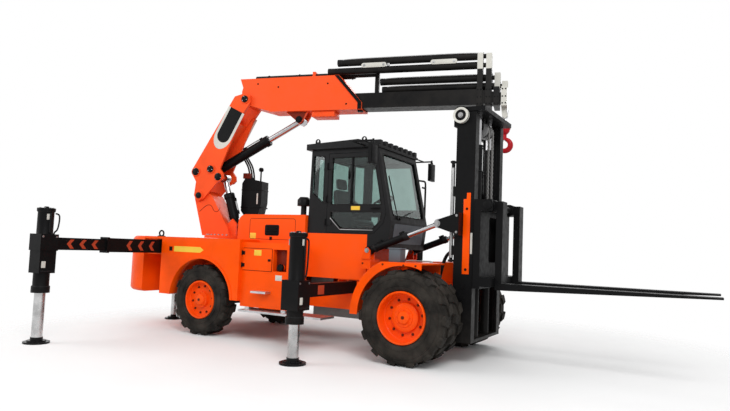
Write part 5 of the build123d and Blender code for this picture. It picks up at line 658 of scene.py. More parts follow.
def mast():
    """Strip plates, hose sheaves, chain wraps and small fittings of the mast and the carriage."""
    strip = Piece("mast_strip_plates", "outer_mast", "orange")
    studs = Piece("mast_studs", "outer_mast", "black")
    rings = Piece("lift_cylinder_glands", "outer_mast", "charcoal")
    sleeve = Piece("hose_guard_sleeves", "outer_mast", "steel")
    sheave = Piece("hose_sheaves", "inner_mast", "pale")
    flange = Piece("chain_sheave_flanges", "inner_mast", "steel")
    wrap = Piece("chain_wraps", "inner_mast", "iron")
    caps = Piece("fork_shaft_caps", "fork_carriage", "black")
    plate = Piece("mast_blank_plates", "outer_mast", "pale")
    for sign in SIGNS:
        out = sign * Y
        strip.prism([(1.606, 1.19), (1.702, 1.19), (1.702, 2.275), (1.650, 2.275), (1.650, 2.190),
                     (1.606, 2.190)], (0, sign * 0.644 + 0.004, 0), X, UP, 0.008, 0.002)
        studs.bolts([(1.655, sign * 0.648, z) for z in (1.25, 2.06)], out, 0.013, 0.010)
        plate.plate((1.724, sign * 0.6415, 1.60), (0.028, 0.003, 0.28))
        studs.bolts([(1.615, sign * 0.640, z) for z in (0.50, 0.86, 1.02)], out, 0.030, 0.016)
        for z in (2.94, 2.62):
            rings.ring((LIFT_X, sign * LIFT_Y, z), UP, 0.062, 0.010)
        rings.lathe([(0.060, 2.962), (0.071, 2.965), (0.071, 2.988), (0.045, 2.990)],
                    (LIFT_X, sign * LIFT_Y, 0), UP)
        for z in (1.36, 1.94, 2.70):
            rings.block((GUARD_X, sign * GUARD_Y, z), (0.066, 0.066, 0.03), edge=0.004)
        sheave.lathe([(0.030, 0.004), (0.108, 0.004), (0.108, 0.012), (0.098, 0.022), (0.098, 0.036),
                      (0.108, 0.046), (0.108, 0.0545), (0.080, 0.0545), (0.072, 0.050), (0.030, 0.050)],
                     (HOSE_SHEAVE_X, sign * 0.6455, HOSE_SHEAVE_Z), out, 48)
        flange.bolts([(HOSE_SHEAVE_X, sign * 0.6955, HOSE_SHEAVE_Z)], out, 0.026, 0.016)
        for side in SIGNS:
            flange.lathe([(0, 0), (0.104, 0), (0.104, 0.006), (0.094, 0.008), (0, 0.008)],
                         (CHAIN_SHEAVE_X, sign * CHAIN_SHEAVE_Y + side * 0.030, CHAIN_SHEAVE_Z), side * Y, 40)
        for i in range(WRAP_LINKS):
            turn = radians(90 - 18 * i)
            spoke = Vector((sin(turn), 0, cos(turn)))
            tangent = Vector((cos(turn), 0, -sin(turn)))
            middle = Vector((CHAIN_SHEAVE_X, sign * CHAIN_SHEAVE_Y, CHAIN_SHEAVE_Z))
            wrap.block(middle + 0.096 * spoke, (0.024, 0.046, 0.022), tangent, Y)
        caps.lathe([(0.045, 0.0), (0.058, 0.002), (0.058, 0.014), (0.040, 0.020), (0, 0.020)],
                   (FORK_SHAFT_X, sign * 0.690, FORK_SHAFT_Z), out)
        for y in (0.315, 0.543):
            caps.ring((FORK_SHAFT_X, sign * y, FORK_SHAFT_Z), out, 0.050, 0.010)
        sleeve.lathe([(0.024, 1.400), (0.0265, 1.402), (0.0265, 2.620), (0.024, 2.622)],
                     (GUARD_X, sign * GUARD_Y, 0), UP, 24)
    finish_all(strip, studs, rings, sleeve, sheave, flange, wrap, caps, plate)
    bend = ((1.16, 1.03), (1.20, 1.20), (1.26, 1.42), (1.36, 1.50), (1.43, 1.44), (1.45, 1.40))
    flexible("tilt_hoses", "hose", 0.014,
             [on_side(bend, y) for y in (-0.33, -0.39, 0.33, 0.39)])
    run = ((0.80, 1.330), (0.98, 1.332), (1.12, 1.334), (1.17, 1.332), (1.175, 1.318))
    pipes("fender_pipes", "chassis", "steel", 0.009, [on_side(run, -0.62 - k) for k in (0.0, 0.03, 0.06)])


TILT_BASE, TILT_EYE = Vector((0.250, 0, 1.450)), Vector((1.300, 0, 1.850))
TILT_Y, TILT_EYE_Y = 0.740, 0.805


def tilt_cylinders():
    """Glands and pin caps of the tilt cylinders."""
    line = (TILT_EYE - TILT_BASE).normalized()
    gland = Piece("tilt_glands", "tilt_cylinder_barrels", "charcoal")
    ports = Piece("tilt_ports", "tilt_cylinder_barrels", "black")
    pins = Piece("tilt_base_pins", "chassis", "steel")
    eyes = Piece("tilt_eye_pins", "outer_mast", "steel")
    for sign in SIGNS:
        out = sign * Y
        base = TILT_BASE + TILT_Y * out
        gland.lathe([(0.036, 0.575), (0.058, 0.578), (0.058, 0.628), (0.050, 0.641), (0.036, 0.642)], base, line)
        gland.lathe([(0.052, 0.095), (0.058, 0.098), (0.058, 0.118), (0.052, 0.121)], base, line)
        for at in (0.17, 0.54):
            ports.block(base + at * line + Vector((0, sign * -0.006, 0.066)), (0.075, 0.055, 0.042), line, Y)
        for y, facing in ((0.655, -out), (0.825, out)):
            pins.bolts([TILT_BASE + y * out], facing, 0.024, 0.014)
        eyes.bolts([TILT_EYE + TILT_EYE_Y * out], out, 0.030, 0.016)
        eyes.bolts([(1.57, sign * TILT_EYE_Y, z) for z in (1.74, 1.96)], out, 0.012, 0.012)
    finish_all(gland, ports, pins, eyes)


# Cab: outlines of the panes in x and z, the windscreen's slope, and places
SIDE_WINDOW = ((-0.845, 2.290), (-0.640, 2.140), (-0.640, 2.850), (-0.845, 2.880))
DOOR_UPPER = ((-0.500, 2.120), (0.360, 2.120), (0.215, 2.830), (-0.500, 2.830))
DOOR_LOWER = ((-0.500, 1.930), (-0.320, 1.760), (0.230, 1.760), (0.355, 1.885), (0.372, 2.010), (-0.500, 2.010))
SCREEN_SLOPE = atan2(0.240, 1.080)
SCREEN_OUT = Vector((cos(SCREEN_SLOPE), 0, sin(SCREEN_SLOPE)))
SCREEN_UP = Vector((-sin(SCREEN_SLOPE), 0, cos(SCREEN_SLOPE)))
SEAL_Y, SEAL_RADIUS = 0.648, 0.009
WIPERS = (((-0.44, -0.500), (-0.485, 0.130)), ((-0.36, -0.505), (0.060, -0.395)))  # foot, tip
MIRROR_Y, MIRROR_Z = 1.05, 2.796
LEVERS = 4


def screen_point(y, up, out):
    """Point on the windscreen: across, up the slope, and out of the frame's face."""
    return Vector((0.410, y, 2.420)) + up * SCREEN_UP + out * SCREEN_OUT


def cab():
    """Window seals, handles, wipers, mirror glass and the driver's controls."""
    fixed = [on_side(SIDE_WINDOW, SEAL_Y), on_side(SIDE_WINDOW, -SEAL_Y), on_side(DOOR_UPPER, SEAL_Y),
             on_side(DOOR_LOWER, SEAL_Y)]
    fixed.append([screen_point(y, up, -0.003) for y, up in rounded(-0.555, 0.555, -0.465, 0.465, 0.05)])
    fixed.append([(-0.888, y, z) for y, z in rounded(-0.495, 0.495, 2.155, 2.865, 0.04)])
    beads("window_seals", "chassis", "hose", SEAL_RADIUS, fixed)
    beads("door_seals", "door", "hose", SEAL_RADIUS, [on_side(pane, -SEAL_Y) for pane in (DOOR_UPPER, DOOR_LOWER)])
    lower = Piece("door_lower_trim", "door", "steel")
    lower.block((-0.41, -0.6525, 1.828), (0.255, 0.004, 0.010), Vector((0.727, 0, -0.687)), Y, 0.001)
    lower.plate((-0.045, -0.6525, 1.744), (0.56, 0.004, 0.010)).done()
    door = Piece("door_furniture", "door", "black")
    door.block((-0.150, -0.638, 2.475), (0.032, 0.020, 0.712))
    door.block((0.270, -0.671, 2.065), (0.150, 0.014, 0.026), edge=0.006)
    for x in (0.215, 0.325):
        door.block((x, -0.658, 2.065), (0.024, 0.020, 0.022))
    door.block((-0.205, -0.642, 2.560), (0.022, 0.016, 0.120), edge=0.005)
    for z in (1.85, 2.20, 2.70):
        door.rod((-0.575, -0.668, z - 0.05), (-0.575, -0.668, z + 0.05), 0.016, sides=16)
    door.done()
    Piece("door_blank_plate", "door", "yellow").plate((-0.065, -0.6515, 2.065), (0.150, 0.003, 0.058)).done()
    wiper = Piece("wipers", "chassis", "black")
    for foot, tip in WIPERS:
        low, high = screen_point(*foot, 0.016), screen_point(*tip, 0.004)
        run = (high - low).normalized()
        elbow = low + 0.62 * (high - low)
        wiper.rod(screen_point(*foot, -0.004), screen_point(*foot, 0.024), 0.020, sides=20)
        wiper.rod(low, elbow, 0.007, sides=12)
        wiper.block(elbow, (0.50, 0.010, 0.018), run, SCREEN_OUT.cross(run))
    wiper.done()
    mirror = Piece("mirror_glass", "chassis", "lamp")
    rim = Piece("mirror_rims", "chassis", "charcoal")
    for sign in SIGNS:
        y = sign * MIRROR_Y
        mirror.prism(rounded(-0.080, 0.080, -0.130, 0.130, 0.02), (0.3838, y, MIRROR_Z), -Y, UP, 0.003)
        rim.block((0.4375, y, MIRROR_Z), (0.012, 0.150, 0.240), edge=0.005)
        rim.block((0.410, y, 2.955), (0.036, 0.036, 0.030), edge=0.004)
    finish_all(mirror, rim)
    board = Piece("dashboard", "chassis", "charcoal")
    board.prism([(0.20, 1.70), (0.41, 1.70), (0.42, 1.93), (0.34, 2.02), (0.25, 1.96)],
                (0, 0.40, 0), X, UP, 0.80, 0.012)
    board.block((0.33, -0.47, 2.20), (0.035, 0.17, 0.12), Vector((0.94, 0.34, 0)), Vector((-0.34, 0.94, 0)), 0.008)
    board.rod((0.33, -0.46, 1.98), (0.33, -0.47, 2.15), 0.013, sides=16)
    board.block((-0.36, -0.37, 1.955), (0.42, 0.11, 0.05), edge=0.015)
    board.block((-0.40, -0.37, 1.72), (0.30, 0.12, 0.44), edge=0.01).done()
    lever = Piece("levers", "chassis", "black")
    for i in range(LEVERS):
        foot = Vector((-0.205 + 0.012 * (i % 2), -0.405 + 0.026 * i, 1.975))
        tip = foot + Vector((0.035, 0, 0.105))
        lever.rod(foot, tip, 0.006, sides=12)
        lever.lathe([(0, -0.016), (0.012, -0.012), (0.017, 0), (0.012, 0.013), (0, 0.017)], tip, UP, 16)
    lever.done()
    roof = Piece("roof_gutters", "chassis", "charcoal")
    for sign in SIGNS:
        roof.block((-0.325, sign * 0.6965, 2.975), (1.25, 0.012, 0.022), edge=0.004)
    roof.done()
    bend = ((0.430, 0.770, 0), (0.430, 0.770, 0.075), (0.415, 0.745, 0.095), (0.385, 0.690, 0.095),
            (0.36, 0.640, 0.095))
    pipes("grab_rail_ends", "chassis", "black", 0.015,
          [[(x, y, z + turn * rise) for x, y, rise in bend] for z, turn in ((2.520, 1), (1.780, -1))])
    Piece("nose_panel", "chassis", "slate").prism(
        rounded(-0.52, 0.52, -0.32, -0.03, 0.03), (0.530, 0, 1.880), Y, Vector((0.124, 0, 0.992)), 0.004).done()


def cushion(name, centre, size, u, v, crown, channels=()):
    """Stuffed form: a fine box swollen to a soft superellipsoid, crowned, with sewn channels."""
    u, v = Vector(u), Vector(v)
    w = u.cross(v)
    bm = bmesh.new()
    bmesh.ops.create_cube(bm, size=2.0)
    bmesh.ops.subdivide_edges(bm, edges=bm.edges, cuts=15, use_grid_fill=True)
    for vert in bm.verts:
        p = vert.co.copy()
        swell = (abs(p.x) ** 7 + abs(p.y) ** 7 + abs(p.z) ** 5) ** (-1 / 7)
        q = p * min(1.0, swell)
        pinch = 1 - 0.04 * (1 - abs(q.z))
        top = 1 + crown * (1 - q.x ** 2) * (1 - q.y ** 2) if q.z > 0 else 1.0
        groove = sum(0.16 * max(0.0, 1 - abs(q.x - c) / 0.09) for c in channels) if q.z > 0 else 0.0
        q = Vector((q.x * pinch, q.y * pinch, q.z * (top - groove) / (1 + crown)))
        vert.co = Vector(centre) + u * q.x * size[0] / 2 + v * q.y * size[1] / 2 + w * q.z * size[2] / 2
    for face in bm.faces:
        face.smooth = True
    mesh = bpy.data.meshes.new(name)
    bm.to_mesh(mesh)
    bm.free()
    pad = place(bpy.data.objects.new(name, mesh), "chassis", "seat")
    pad.modifiers.new("soft", "SUBSURF").levels = 1
    return pad


SEAT_X = -0.44
SEAT_BACK = Vector((-0.672, 0, 2.150))
SEAT_LEAN = Vector((-0.146, 0, 0.989))
BELLOWS = 10


def seat():
    """The operator's seat: stuffed cushions with piping, on a bellows pedestal."""
    base = cushion("seat_cushion", (SEAT_X, 0, 1.865), (0.478, 0.498, 0.128), X, Y, 0.30, (-0.35, 0.05, 0.45))
    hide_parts("operator_seat")
    cushion("seat_back", SEAT_BACK, (0.500, 0.466, 0.108), -SEAT_LEAN, Y, 0.30, (-0.4, 0.0, 0.4))
    cushion("seat_headrest", (-0.717, 0, 2.495), (0.168, 0.278, 0.068), -SEAT_LEAN, Y, 0.20)
    beads("seat_piping", "chassis", "hose", 0.005, [
        [(SEAT_X + a, b, 1.866) for a, b in rounded(-0.226, 0.226, -0.236, 0.236, 0.05)],
        [SEAT_BACK + a * SEAT_LEAN + b * Y for a, b in rounded(-0.237, 0.237, -0.221, 0.221, 0.05)],
    ])
    stand = Piece("seat_pedestal", "chassis", "black")
    stand.block((SEAT_X, 0, 1.52), (0.36, 0.36, 0.036), edge=0.006)
    stand.block((SEAT_X, 0, 1.785), (0.38, 0.38, 0.026), edge=0.006)
    folds = [(0.165 if i % 2 else 0.145, 0.035 + 0.235 * i / BELLOWS) for i in range(BELLOWS + 1)]
    stand.lathe([(0, 0.03)] + folds + [(0, 0.272)], (SEAT_X, 0, 1.50), UP, 28)
    for sign in SIGNS:
        stand.rod((-0.705, sign * 0.06, 2.38), (-0.716, sign * 0.06, 2.44), 0.007, sides=12)
        stand.block((-0.45, sign * 0.247, 1.80), (0.36, 0.02, 0.05), edge=0.006)
    stand.done()


# Rear body: side faces, and places shared by several fittings
HOOD_Y, TANK_Y, TANK_DOOR_Y, REAR_BODY_Y = 0.700, 1.080, 1.092, 1.150
FILLER_X, FILLER_Z = -1.075, 1.138
HINGE_X = -1.792
STRIPE_Z = 1.345
VENT_SLATS = 6
TAIL_LAMP_Y, TAIL_LAMP_Z = 0.400, 1.290
EYE_X, EYE_Y = -4.10, 0.62


def body():
    """Panel seams, vents, latches, hinges, blank plates and lamps of the rear body, hood and fenders."""
    dark = Piece("body_latches", "chassis", "black")
    note = Piece("body_blank_plates", "chassis", "yellow")
    pale = Piece("tank_blank_plates", "chassis", "pale")
    recess_shade = Piece("filler_recess_shade", "chassis", "dark_red")
    studs = Piece("body_fasteners", "chassis", "nut")
    seams = []
    for sign in SIGNS:
        out = sign * Y
        hood, tank, door, side = (sign * y for y in (HOOD_Y, TANK_Y, TANK_DOOR_Y, REAR_BODY_Y))
        seams.append(on_side(rounded(-2.00, -1.10, 1.560, 1.890, 0.04), hood))
        seams.append(on_side(rounded(-1.786, -1.219, 1.072, 1.411, 0.015), tank))
        dark.prism(rounded(-1.690, -1.408, 1.619, 1.791, 0.03), (0, hood - 0.0015, 0), X, UP, -0.003)
        for i in range(VENT_SLATS):
            dark.block((-1.549, hood + sign * 0.004, 1.640 + 0.026 * i), (0.240, 0.016, 0.009),
                       X, Vector((0, 0.8, -0.6 * sign)), 0.002)
        dark.block((-1.564, hood + sign * 0.005, 1.576), (0.046, 0.014, 0.052), edge=0.006)
        dark.block((-1.262, door + sign * 0.005, 1.240), (0.050, 0.014, 0.034), edge=0.005)
        for z in (1.150, 1.335):
            y = door - sign * 0.002
            dark.rod((HINGE_X, y, z - 0.035), (HINGE_X, y, z + 0.035), 0.014, sides=16)
            dark.plate((-1.765, door + sign * 0.001, z), (0.055, 0.005, 0.055))
        note.plate((-1.929, hood, 1.610), (0.120, 0.004, 0.090))
        note.plate((-1.490, door, 1.345), (0.140, 0.004, 0.085))
        note.prism([(-3.20, -0.045), (-2.62, -0.045), (-2.545, 0.0), (-2.62, 0.045), (-3.20, 0.045)],
                   (0, side + 0.002, STRIPE_Z), X, UP, 0.004)
        dark.plate((-3.275, side, STRIPE_Z), (0.070, 0.006, 0.070))
        pale.plate((-1.085, tank, 0.985), (0.120, 0.004, 0.080))
        # Dark red plate at the back of each filler recess: painted shade inside the recess
        recess_shade.plate((FILLER_X, sign * 0.9915, 1.2415), (0.244, 0.003, 0.320))
        dark.lathe([(0.030, -0.020), (0.052, -0.018), (0.052, 0.020), (0.044, 0.030), (0, 0.030)],
                   (FILLER_X, sign * 1.052, FILLER_Z), out, 32)
        for spot in round_places((FILLER_X, sign * 1.066, FILLER_Z), out, 0.052, 8):
            dark.block(spot, (0.010, 0.022, 0.010), edge=0.002)
        studs.bolts([(x, sign * 0.600, z) for x in (0.05, 0.09) for z in (1.45, 1.60)], out, 0.006, 0.004)
        studs.bolts([(x, sign * 1.290, 1.280) for x in (0.45, 0.75, 1.05, 1.22)], out, 0.010, 0.008)
    beads("panel_seams", "chassis", "black", 0.0035, seams)
    box = Piece("fender_box", "chassis", "slate")
    box.block((0.860, -1.090, 1.400), (0.170, 0.170, 0.172), edge=0.010)
    box.block((0.860, -1.090, 1.492), (0.186, 0.186, 0.018), edge=0.006)
    finish_all(box, dark, note, pale, recess_shade, studs)

    lens = Piece("tail_lamp_lenses", "chassis", "lens")
    rim = Piece("tail_lamp_frames", "chassis", "black")
    eyes = Piece("counterweight_eyes", "chassis", "black")
    tread = Piece("deck_treads", "chassis", "tread")
    for sign in SIGNS:
        y = sign * TAIL_LAMP_Y
        rim.block((-4.573, y, TAIL_LAMP_Z), (0.010, 0.168, 0.088), edge=0.002)
        for shift in (-0.042, 0.042):
            lens.lathe([(0.036, 0), (0.036, 0.010), (0.026, 0.017), (0, 0.020)],
                       (-4.578, y + shift, TAIL_LAMP_Z), -X, 24)
        eyes.lathe([(0.07, 0), (0.07, 0.014), (0.045, 0.022), (0.03, 0.022)], (EYE_X, sign * EYE_Y, 1.539), UP, 24)
        eyes.ring((EYE_X, sign * EYE_Y, 1.600), X, 0.048, 0.014, 28)
        tread.plate((-2.62, sign * 0.915, 1.542), (0.62, 0.34, 0.005))
    eyes.rod((-4.597, 0, 0.86), (-4.55, 0, 0.86), 0.050, sides=28)
    finish_all(lens, rim, eyes, tread)


# Outriggers: the beams lie one behind the other, so their x differs by side
REAR_BEAM_X = {1: -3.791, -1: -3.601}
MID_BEAM_X = {1: -0.248, -1: -0.078}
REAR_BEAM_Z, MID_BEAM_Z = 1.370, 0.907
LEGS = (  # leg, beam x, leg y, bottom and top of the box, leg's top, sleeve's foot, box's half depth
    ("rear", REAR_BEAM_X, 3.148, 0.960, 1.500, 1.859, 0.690, 0.1185),
    ("mid", MID_BEAM_X, 2.038, 0.672, 1.046, 1.641, 0.500, 0.130),
)


def chevron(piece, x, y, z, out, height):
    """Raised blank arrow on an outrigger beam's face, pointing outward."""
    h = height / 2
    outline = [(-0.055, -h), (0.005, -h), (0.060, 0), (0.005, h), (-0.055, h), (0.0, 0)]
    piece.prism([(out * a, b) for a, b in outline], (x - 0.002, y, z), Y, UP, 0.004)


def outriggers():
    """Chevrons, blank plates, bolts and hoses of the outriggers."""
    for name, sign in SIDES:
        rear_x, mid_x = REAR_BEAM_X[sign], MID_BEAM_X[sign]
        # Chevrons and beam patches wear the red darkened as painted shade
        inner = Piece(f"slide_chevrons_{name}", f"rear_slide_{name}", "arrow")
        outer = Piece(f"arm_chevrons_{name}", f"rear_arm_{name}", "arrow")
        patch = Piece(f"mid_patches_{name}", f"mid_arm_{name}", "arrow")
        for face in FACES:
            for y in (1.33, 1.55, 1.77):
                chevron(inner, rear_x + face * 0.075, sign * y, REAR_BEAM_Z, sign, 0.150)
            for y in (2.38, 2.58, 2.78):
                chevron(outer, rear_x + face * 0.055, sign * y, REAR_BEAM_Z, sign, 0.130)
            patch.plate((mid_x + face * 0.065, sign * 1.56, MID_BEAM_Z), (0.004, 0.150, 0.120))
        finish_all(inner, outer, patch)
        for stem, beam_x, leg_y, box_low, box_top, top, foot, depth in LEGS:
            body, x, y = f"{stem}_arm_{name}", beam_x[sign], sign * leg_y
            trim = Piece(f"{stem}_leg_trim_{name}", body, "charcoal")
            plate = Piece(f"{stem}_leg_plates_{name}", body, "pale")
            bolt = Piece(f"{stem}_leg_bolts_{name}", body, "steel")
            bolt.bolts(round_places((x, y, top), UP, 0.088, 8), UP, 0.012, 0.010)
            for face in FACES:
                trim.block((x + face * 0.109, y, top - 0.20), (0.012, 0.030, 0.280))
                plate.plate((x + face * 0.1045, sign * (leg_y + 0.030), top - 0.12), (0.006, 0.042, 0.080))
                plate.plate((x + face * depth, sign * (leg_y + 0.06), box_low + 0.12), (0.004, 0.060, 0.090))
                trim.block((x + face * depth, y, box_low + 0.03), (0.010, 0.20, 0.016))
                bolt.bolts([(x + face * 0.130, sign * (leg_y + s), box_top - 0.035) for s in (-0.10, 0.10)],
                           face * X, 0.011, 0.010)
            trim.ring((x, y, foot + 0.085), UP, 0.108, 0.010, 40)
            trim.ring((x, y, top - 0.045), UP, 0.108, 0.008, 40)
            trim.lathe([(0.034, 0), (0.034, 0.020), (0.020, 0.026), (0, 0.026)], (x, y, top - 0.0005), UP, 6)
            finish_all(trim, plate, bolt)
            drop = ((0.115, top - 0.07), (0.165, top - 0.07), (0.180, top - 0.14), (0.160, box_top + 0.06),
                    (0.110, box_top + 0.03), (0.105, box_top - 0.01))
            pipes(f"{stem}_leg_hoses_{name}", body, "hose", 0.011,
                  [[(x + 0.045, sign * (leg_y - inset), z) for inset, z in drop]])


# Crane: pins as (r, z), and the cylinders between them
LUFF, LIFT_EYE, KNUCKLE = (-0.400, 2.310), (-0.030, 2.650), (0.420, 4.050)
FOLD_BASE, REAR_BOSS, LIFT_BASE = (-0.190, 2.790), (-0.490, 2.740), (0.230, 1.830)
FOLD_EYE = (1.420, 3.690)
CYLINDERS = (  # cylinder, base, eye, barrel's length, place of the lower port, side of the ports
    ("fold", FOLD_BASE, FOLD_EYE, 1.150, 0.660, 1),
    ("lift", LIFT_BASE, LIFT_EYE, 0.560, 0.190, -1),
)
SLEW_BOLTS, SLEW_BOLT_R = 28, 0.312
TONGUE_LOW, TONGUE_HIGH = Vector((0.030, 3.400)), Vector((0.262, 3.860))
TANK_R, TANK_LATERAL, KNOB_R = 0.440, 0.280, 0.545


def tongue(half, drop):
    """Outline of the panel up the inner boom's side, round at its lower end."""
    run = (TONGUE_HIGH - TONGUE_LOW).normalized()
    side = Vector((run.y, -run.x))
    arc = [TONGUE_LOW + half * cos(radians(a)) * side - drop * sin(radians(a)) * run for a in range(0, 181, 12)]
    return [tuple(p) for p in [TONGUE_HIGH + half * side] + arc + [TONGUE_HIGH - half * side]]


def column():
    """Slew ring bolts, seams, valve and tank fittings that turn with the column."""
    spots = []
    for i in range(SLEW_BOLTS):
        t = 2 * pi * i / SLEW_BOLTS
        r, lateral = SLEW_BOLT_R * cos(t), SLEW_BOLT_R * sin(t)
        under_column = -0.34 < r < 0.26 and abs(lateral) < 0.225
        if not under_column and not (r > 0.2 and abs(lateral) < 0.15):
            spots.append(boom_point(r, lateral, 1.6053))
    Piece("slew_ring_bolts", "column", "steel").bolts(spots, UP, 0.017, 0.018).done()
    # The column's seams are drawn in the dark red that is painted shade
    seam = ((-0.40, 2.02), (-0.27, 2.15), (-0.16, 2.14), (-0.11, 2.03), (-0.02, 2.02), (0.01, 2.10))
    pipes("column_seams", "column", "dark_red", 0.005,
          [[boom_point(r, lateral, z) for r, z in seam] for lateral in (-0.205, 0.205)])
    # Valve block in the dark red that is painted shade
    valve = Piece("crane_valve", "column", "dark_red").boom_block(0.315, 0.185, 2.72, (0.13, 0.09, 0.10), 0.008)
    for r in (0.275, 0.315, 0.355):
        valve.rod(boom_point(r, 0.130, 2.74), boom_point(r, 0.155, 2.74), 0.014, sides=16)
    luff = Piece("luff_pin_caps", "column", "black")
    for side in FACES:
        luff.lathe([(0.056, 0), (0.056, 0.008), (0.044, 0.014), (0, 0.014)],
                   boom_point(LUFF[0], side * 0.276, LUFF[1]), side * BOOM_FAR)
    knob = Piece("tank_fittings", "column", "black")
    knob.rod(boom_point(KNOB_R, TANK_LATERAL, 2.60), boom_point(KNOB_R, TANK_LATERAL, 2.83), 0.014, sides=16)
    knob.lathe([(0, -0.042), (0.034, -0.034), (0.048, 0), (0.034, 0.034), (0, 0.042)],
               boom_point(KNOB_R, TANK_LATERAL, 2.85), UP, 28)
    knob.lathe([(0.06, 0), (0.06, 0.035), (0.045, 0.048), (0, 0.048)], boom_point(0.36, TANK_LATERAL, 2.655), UP, 28)
    for z in (2.14, 2.46):
        knob.boom_block(TANK_R, TANK_LATERAL, z, (0.408, 0.288, 0.026), 0.003)
    gauge = Piece("tank_gauge", "column", "pale")
    gauge.boom_prism(rounded(0.55, 0.575, 2.20, 2.40, 0.012), 0.140, 0.004)
    finish_all(valve, luff, knob, gauge)
    bend = ((0.30, 0.330, 2.66), (0.28, 0.335, 2.86), (0.16, 0.335, 3.05), (0.06, 0.320, 3.20),
            (0.03, 0.290, 3.34), (0.05, 0.262, 3.40))
    flexible("crane_hoses", "hose", 0.016,
             [[boom_point(r + k, lateral, z) for r, lateral, z in bend] for k in (0.0, 0.045, 0.09)])


def booms():
    """Pin caps, panels, studs and plates of the inner and outer boom."""
    caps = Piece("boom_pin_caps", "boom_inner", "black")
    heads = Piece("boom_pin_bolts", "boom_inner", "steel")
    for side in FACES:
        out = side * BOOM_FAR
        for r, z in (KNUCKLE, FOLD_BASE):
            caps.lathe([(0.062, 0), (0.062, 0.010), (0.050, 0.016), (0.020, 0.016), (0, 0.012)],
                       boom_point(r, side * 0.276, z), out)
            heads.bolts(round_places(boom_point(r, side * 0.286, z), out, 0.045, 3), out, 0.009, 0.009)
        for r, z in (LIFT_EYE, REAR_BOSS):
            caps.lathe([(0.068, 0), (0.068, 0.008), (0.050, 0.020), (0, 0.022)], boom_point(r, side * 0.268, z), out)
            heads.bolts(round_places(boom_point(r, side * 0.276, z), out, 0.058, 3), out, 0.007, 0.007)
    finish_all(caps, heads)
    Piece("boom_panel_borders", "boom_inner", "pale").boom_plates(tongue(0.176, 0.260), 0.255, 0.003).done()
    Piece("boom_panels", "boom_inner", "black").boom_plates(tongue(0.128, 0.130), 0.255, 0.005).done()

    collar = Piece("boom_front_collar", "boom_outer", "black")
    collar.boom_plates([(2.077, 4.436), (2.148, 4.436), (2.577, 3.950), (2.577, 3.833), (2.507, 3.833),
                        (2.507, 3.948)], 0.199, 0.003)
    collar.boom_block(2.535, -0.10, 3.815, (0.09, 0.07, 0.03))
    shoe = Piece("boom_shoe", "boom_outer", "crane")
    shoe.boom_block(1.870, 0, 3.782, (0.420, 0.290, 0.110), 0.008)
    shoe.boom_block(1.600, 0.110, 4.515, (0.055, 0.150, 0.150), 0.006)
    studs = Piece("boom_studs", "boom_outer", "black")
    for side in FACES:
        for spots, lateral, radius, height in (
            (((0.62, 4.34), (1.02, 4.27), (1.95, 4.30), (2.30, 3.93)), 0.185, 0.011, 0.008),
            (((2.543, 3.86), (2.543, 3.92)), 0.202, 0.012, 0.010),
            ((FOLD_EYE,), 0.126, 0.045, 0.020),
        ):
            studs.bolts([boom_point(r, side * lateral, z) for r, z in spots], side * BOOM_FAR, radius, height)
    # Fold lug plates under the boom in the dark red that is painted shade
    lugs = Piece("fold_lug_plates", "boom_outer", "dark_red")
    lugs.boom_plates([(1.19, 3.822), (1.345, 3.690), (1.420, 3.615), (1.495, 3.690), (1.555, 3.822)], 0.126, 0.004)
    clips = Piece("first_tube_clips", "boom_outer", "charcoal")
    for r in (0.70, 1.30, 1.90, 2.30):
        clips.ring(boom_point(r, 0.110, 4.505), BOOM_DIR, 0.062, 0.009, 32)
    finish_all(collar, shoe, studs, lugs, clips)


def cylinders():
    """Glands, ports and pipes of the lift and fold cylinders."""
    for stem, base, eye, length, port, facing in CYLINDERS:
        run = Vector((eye[0] - base[0], eye[1] - base[1])).normalized()
        start, line = boom_point(base[0], 0, base[1]), run.x * BOOM_DIR + run.y * UP
        top = facing * (run.x * UP - run.y * BOOM_DIR)
        gland = Piece(f"{stem}_glands", f"{stem}_barrel", "black")
        gland.lathe([(0.060, length - 0.085), (0.099, length - 0.082), (0.099, length - 0.010),
                     (0.092, length + 0.004), (0.056, length + 0.006)], start, line, 40)
        gland.lathe([(0.084, port - 0.065), (0.091, port - 0.062), (0.091, port - 0.035), (0.084, port - 0.032)],
                    start, line, 40)
        for at, size in ((port, 0.07), (length - 0.13, 0.06)):
            gland.block(start + at * line + 0.096 * top, (size, 0.05, 0.04), line, BOOM_FAR, 0.004)
        gland.done()
        route = ((port + 0.01, 0.105), (port + 0.05, 0.112), (0.5 * (port + length), 0.112),
                 (length - 0.20, 0.112), (length - 0.14, 0.105))
        pipes(f"{stem}_pipes", f"{stem}_barrel", "steel", 0.010, [[start + a * line + h * top for a, h in route]])


BARRELS = (  # of each stage: lateral, z, start along the boom
    ((-0.075, 4.530, 1.950), (-0.075, 4.680, 2.120)), ((0.075, 4.360, 2.860),), ((0.075, 4.215, 2.900),), (),
)
LINKS_R, LINKS_Z = (2.75, 3.95), 4.605


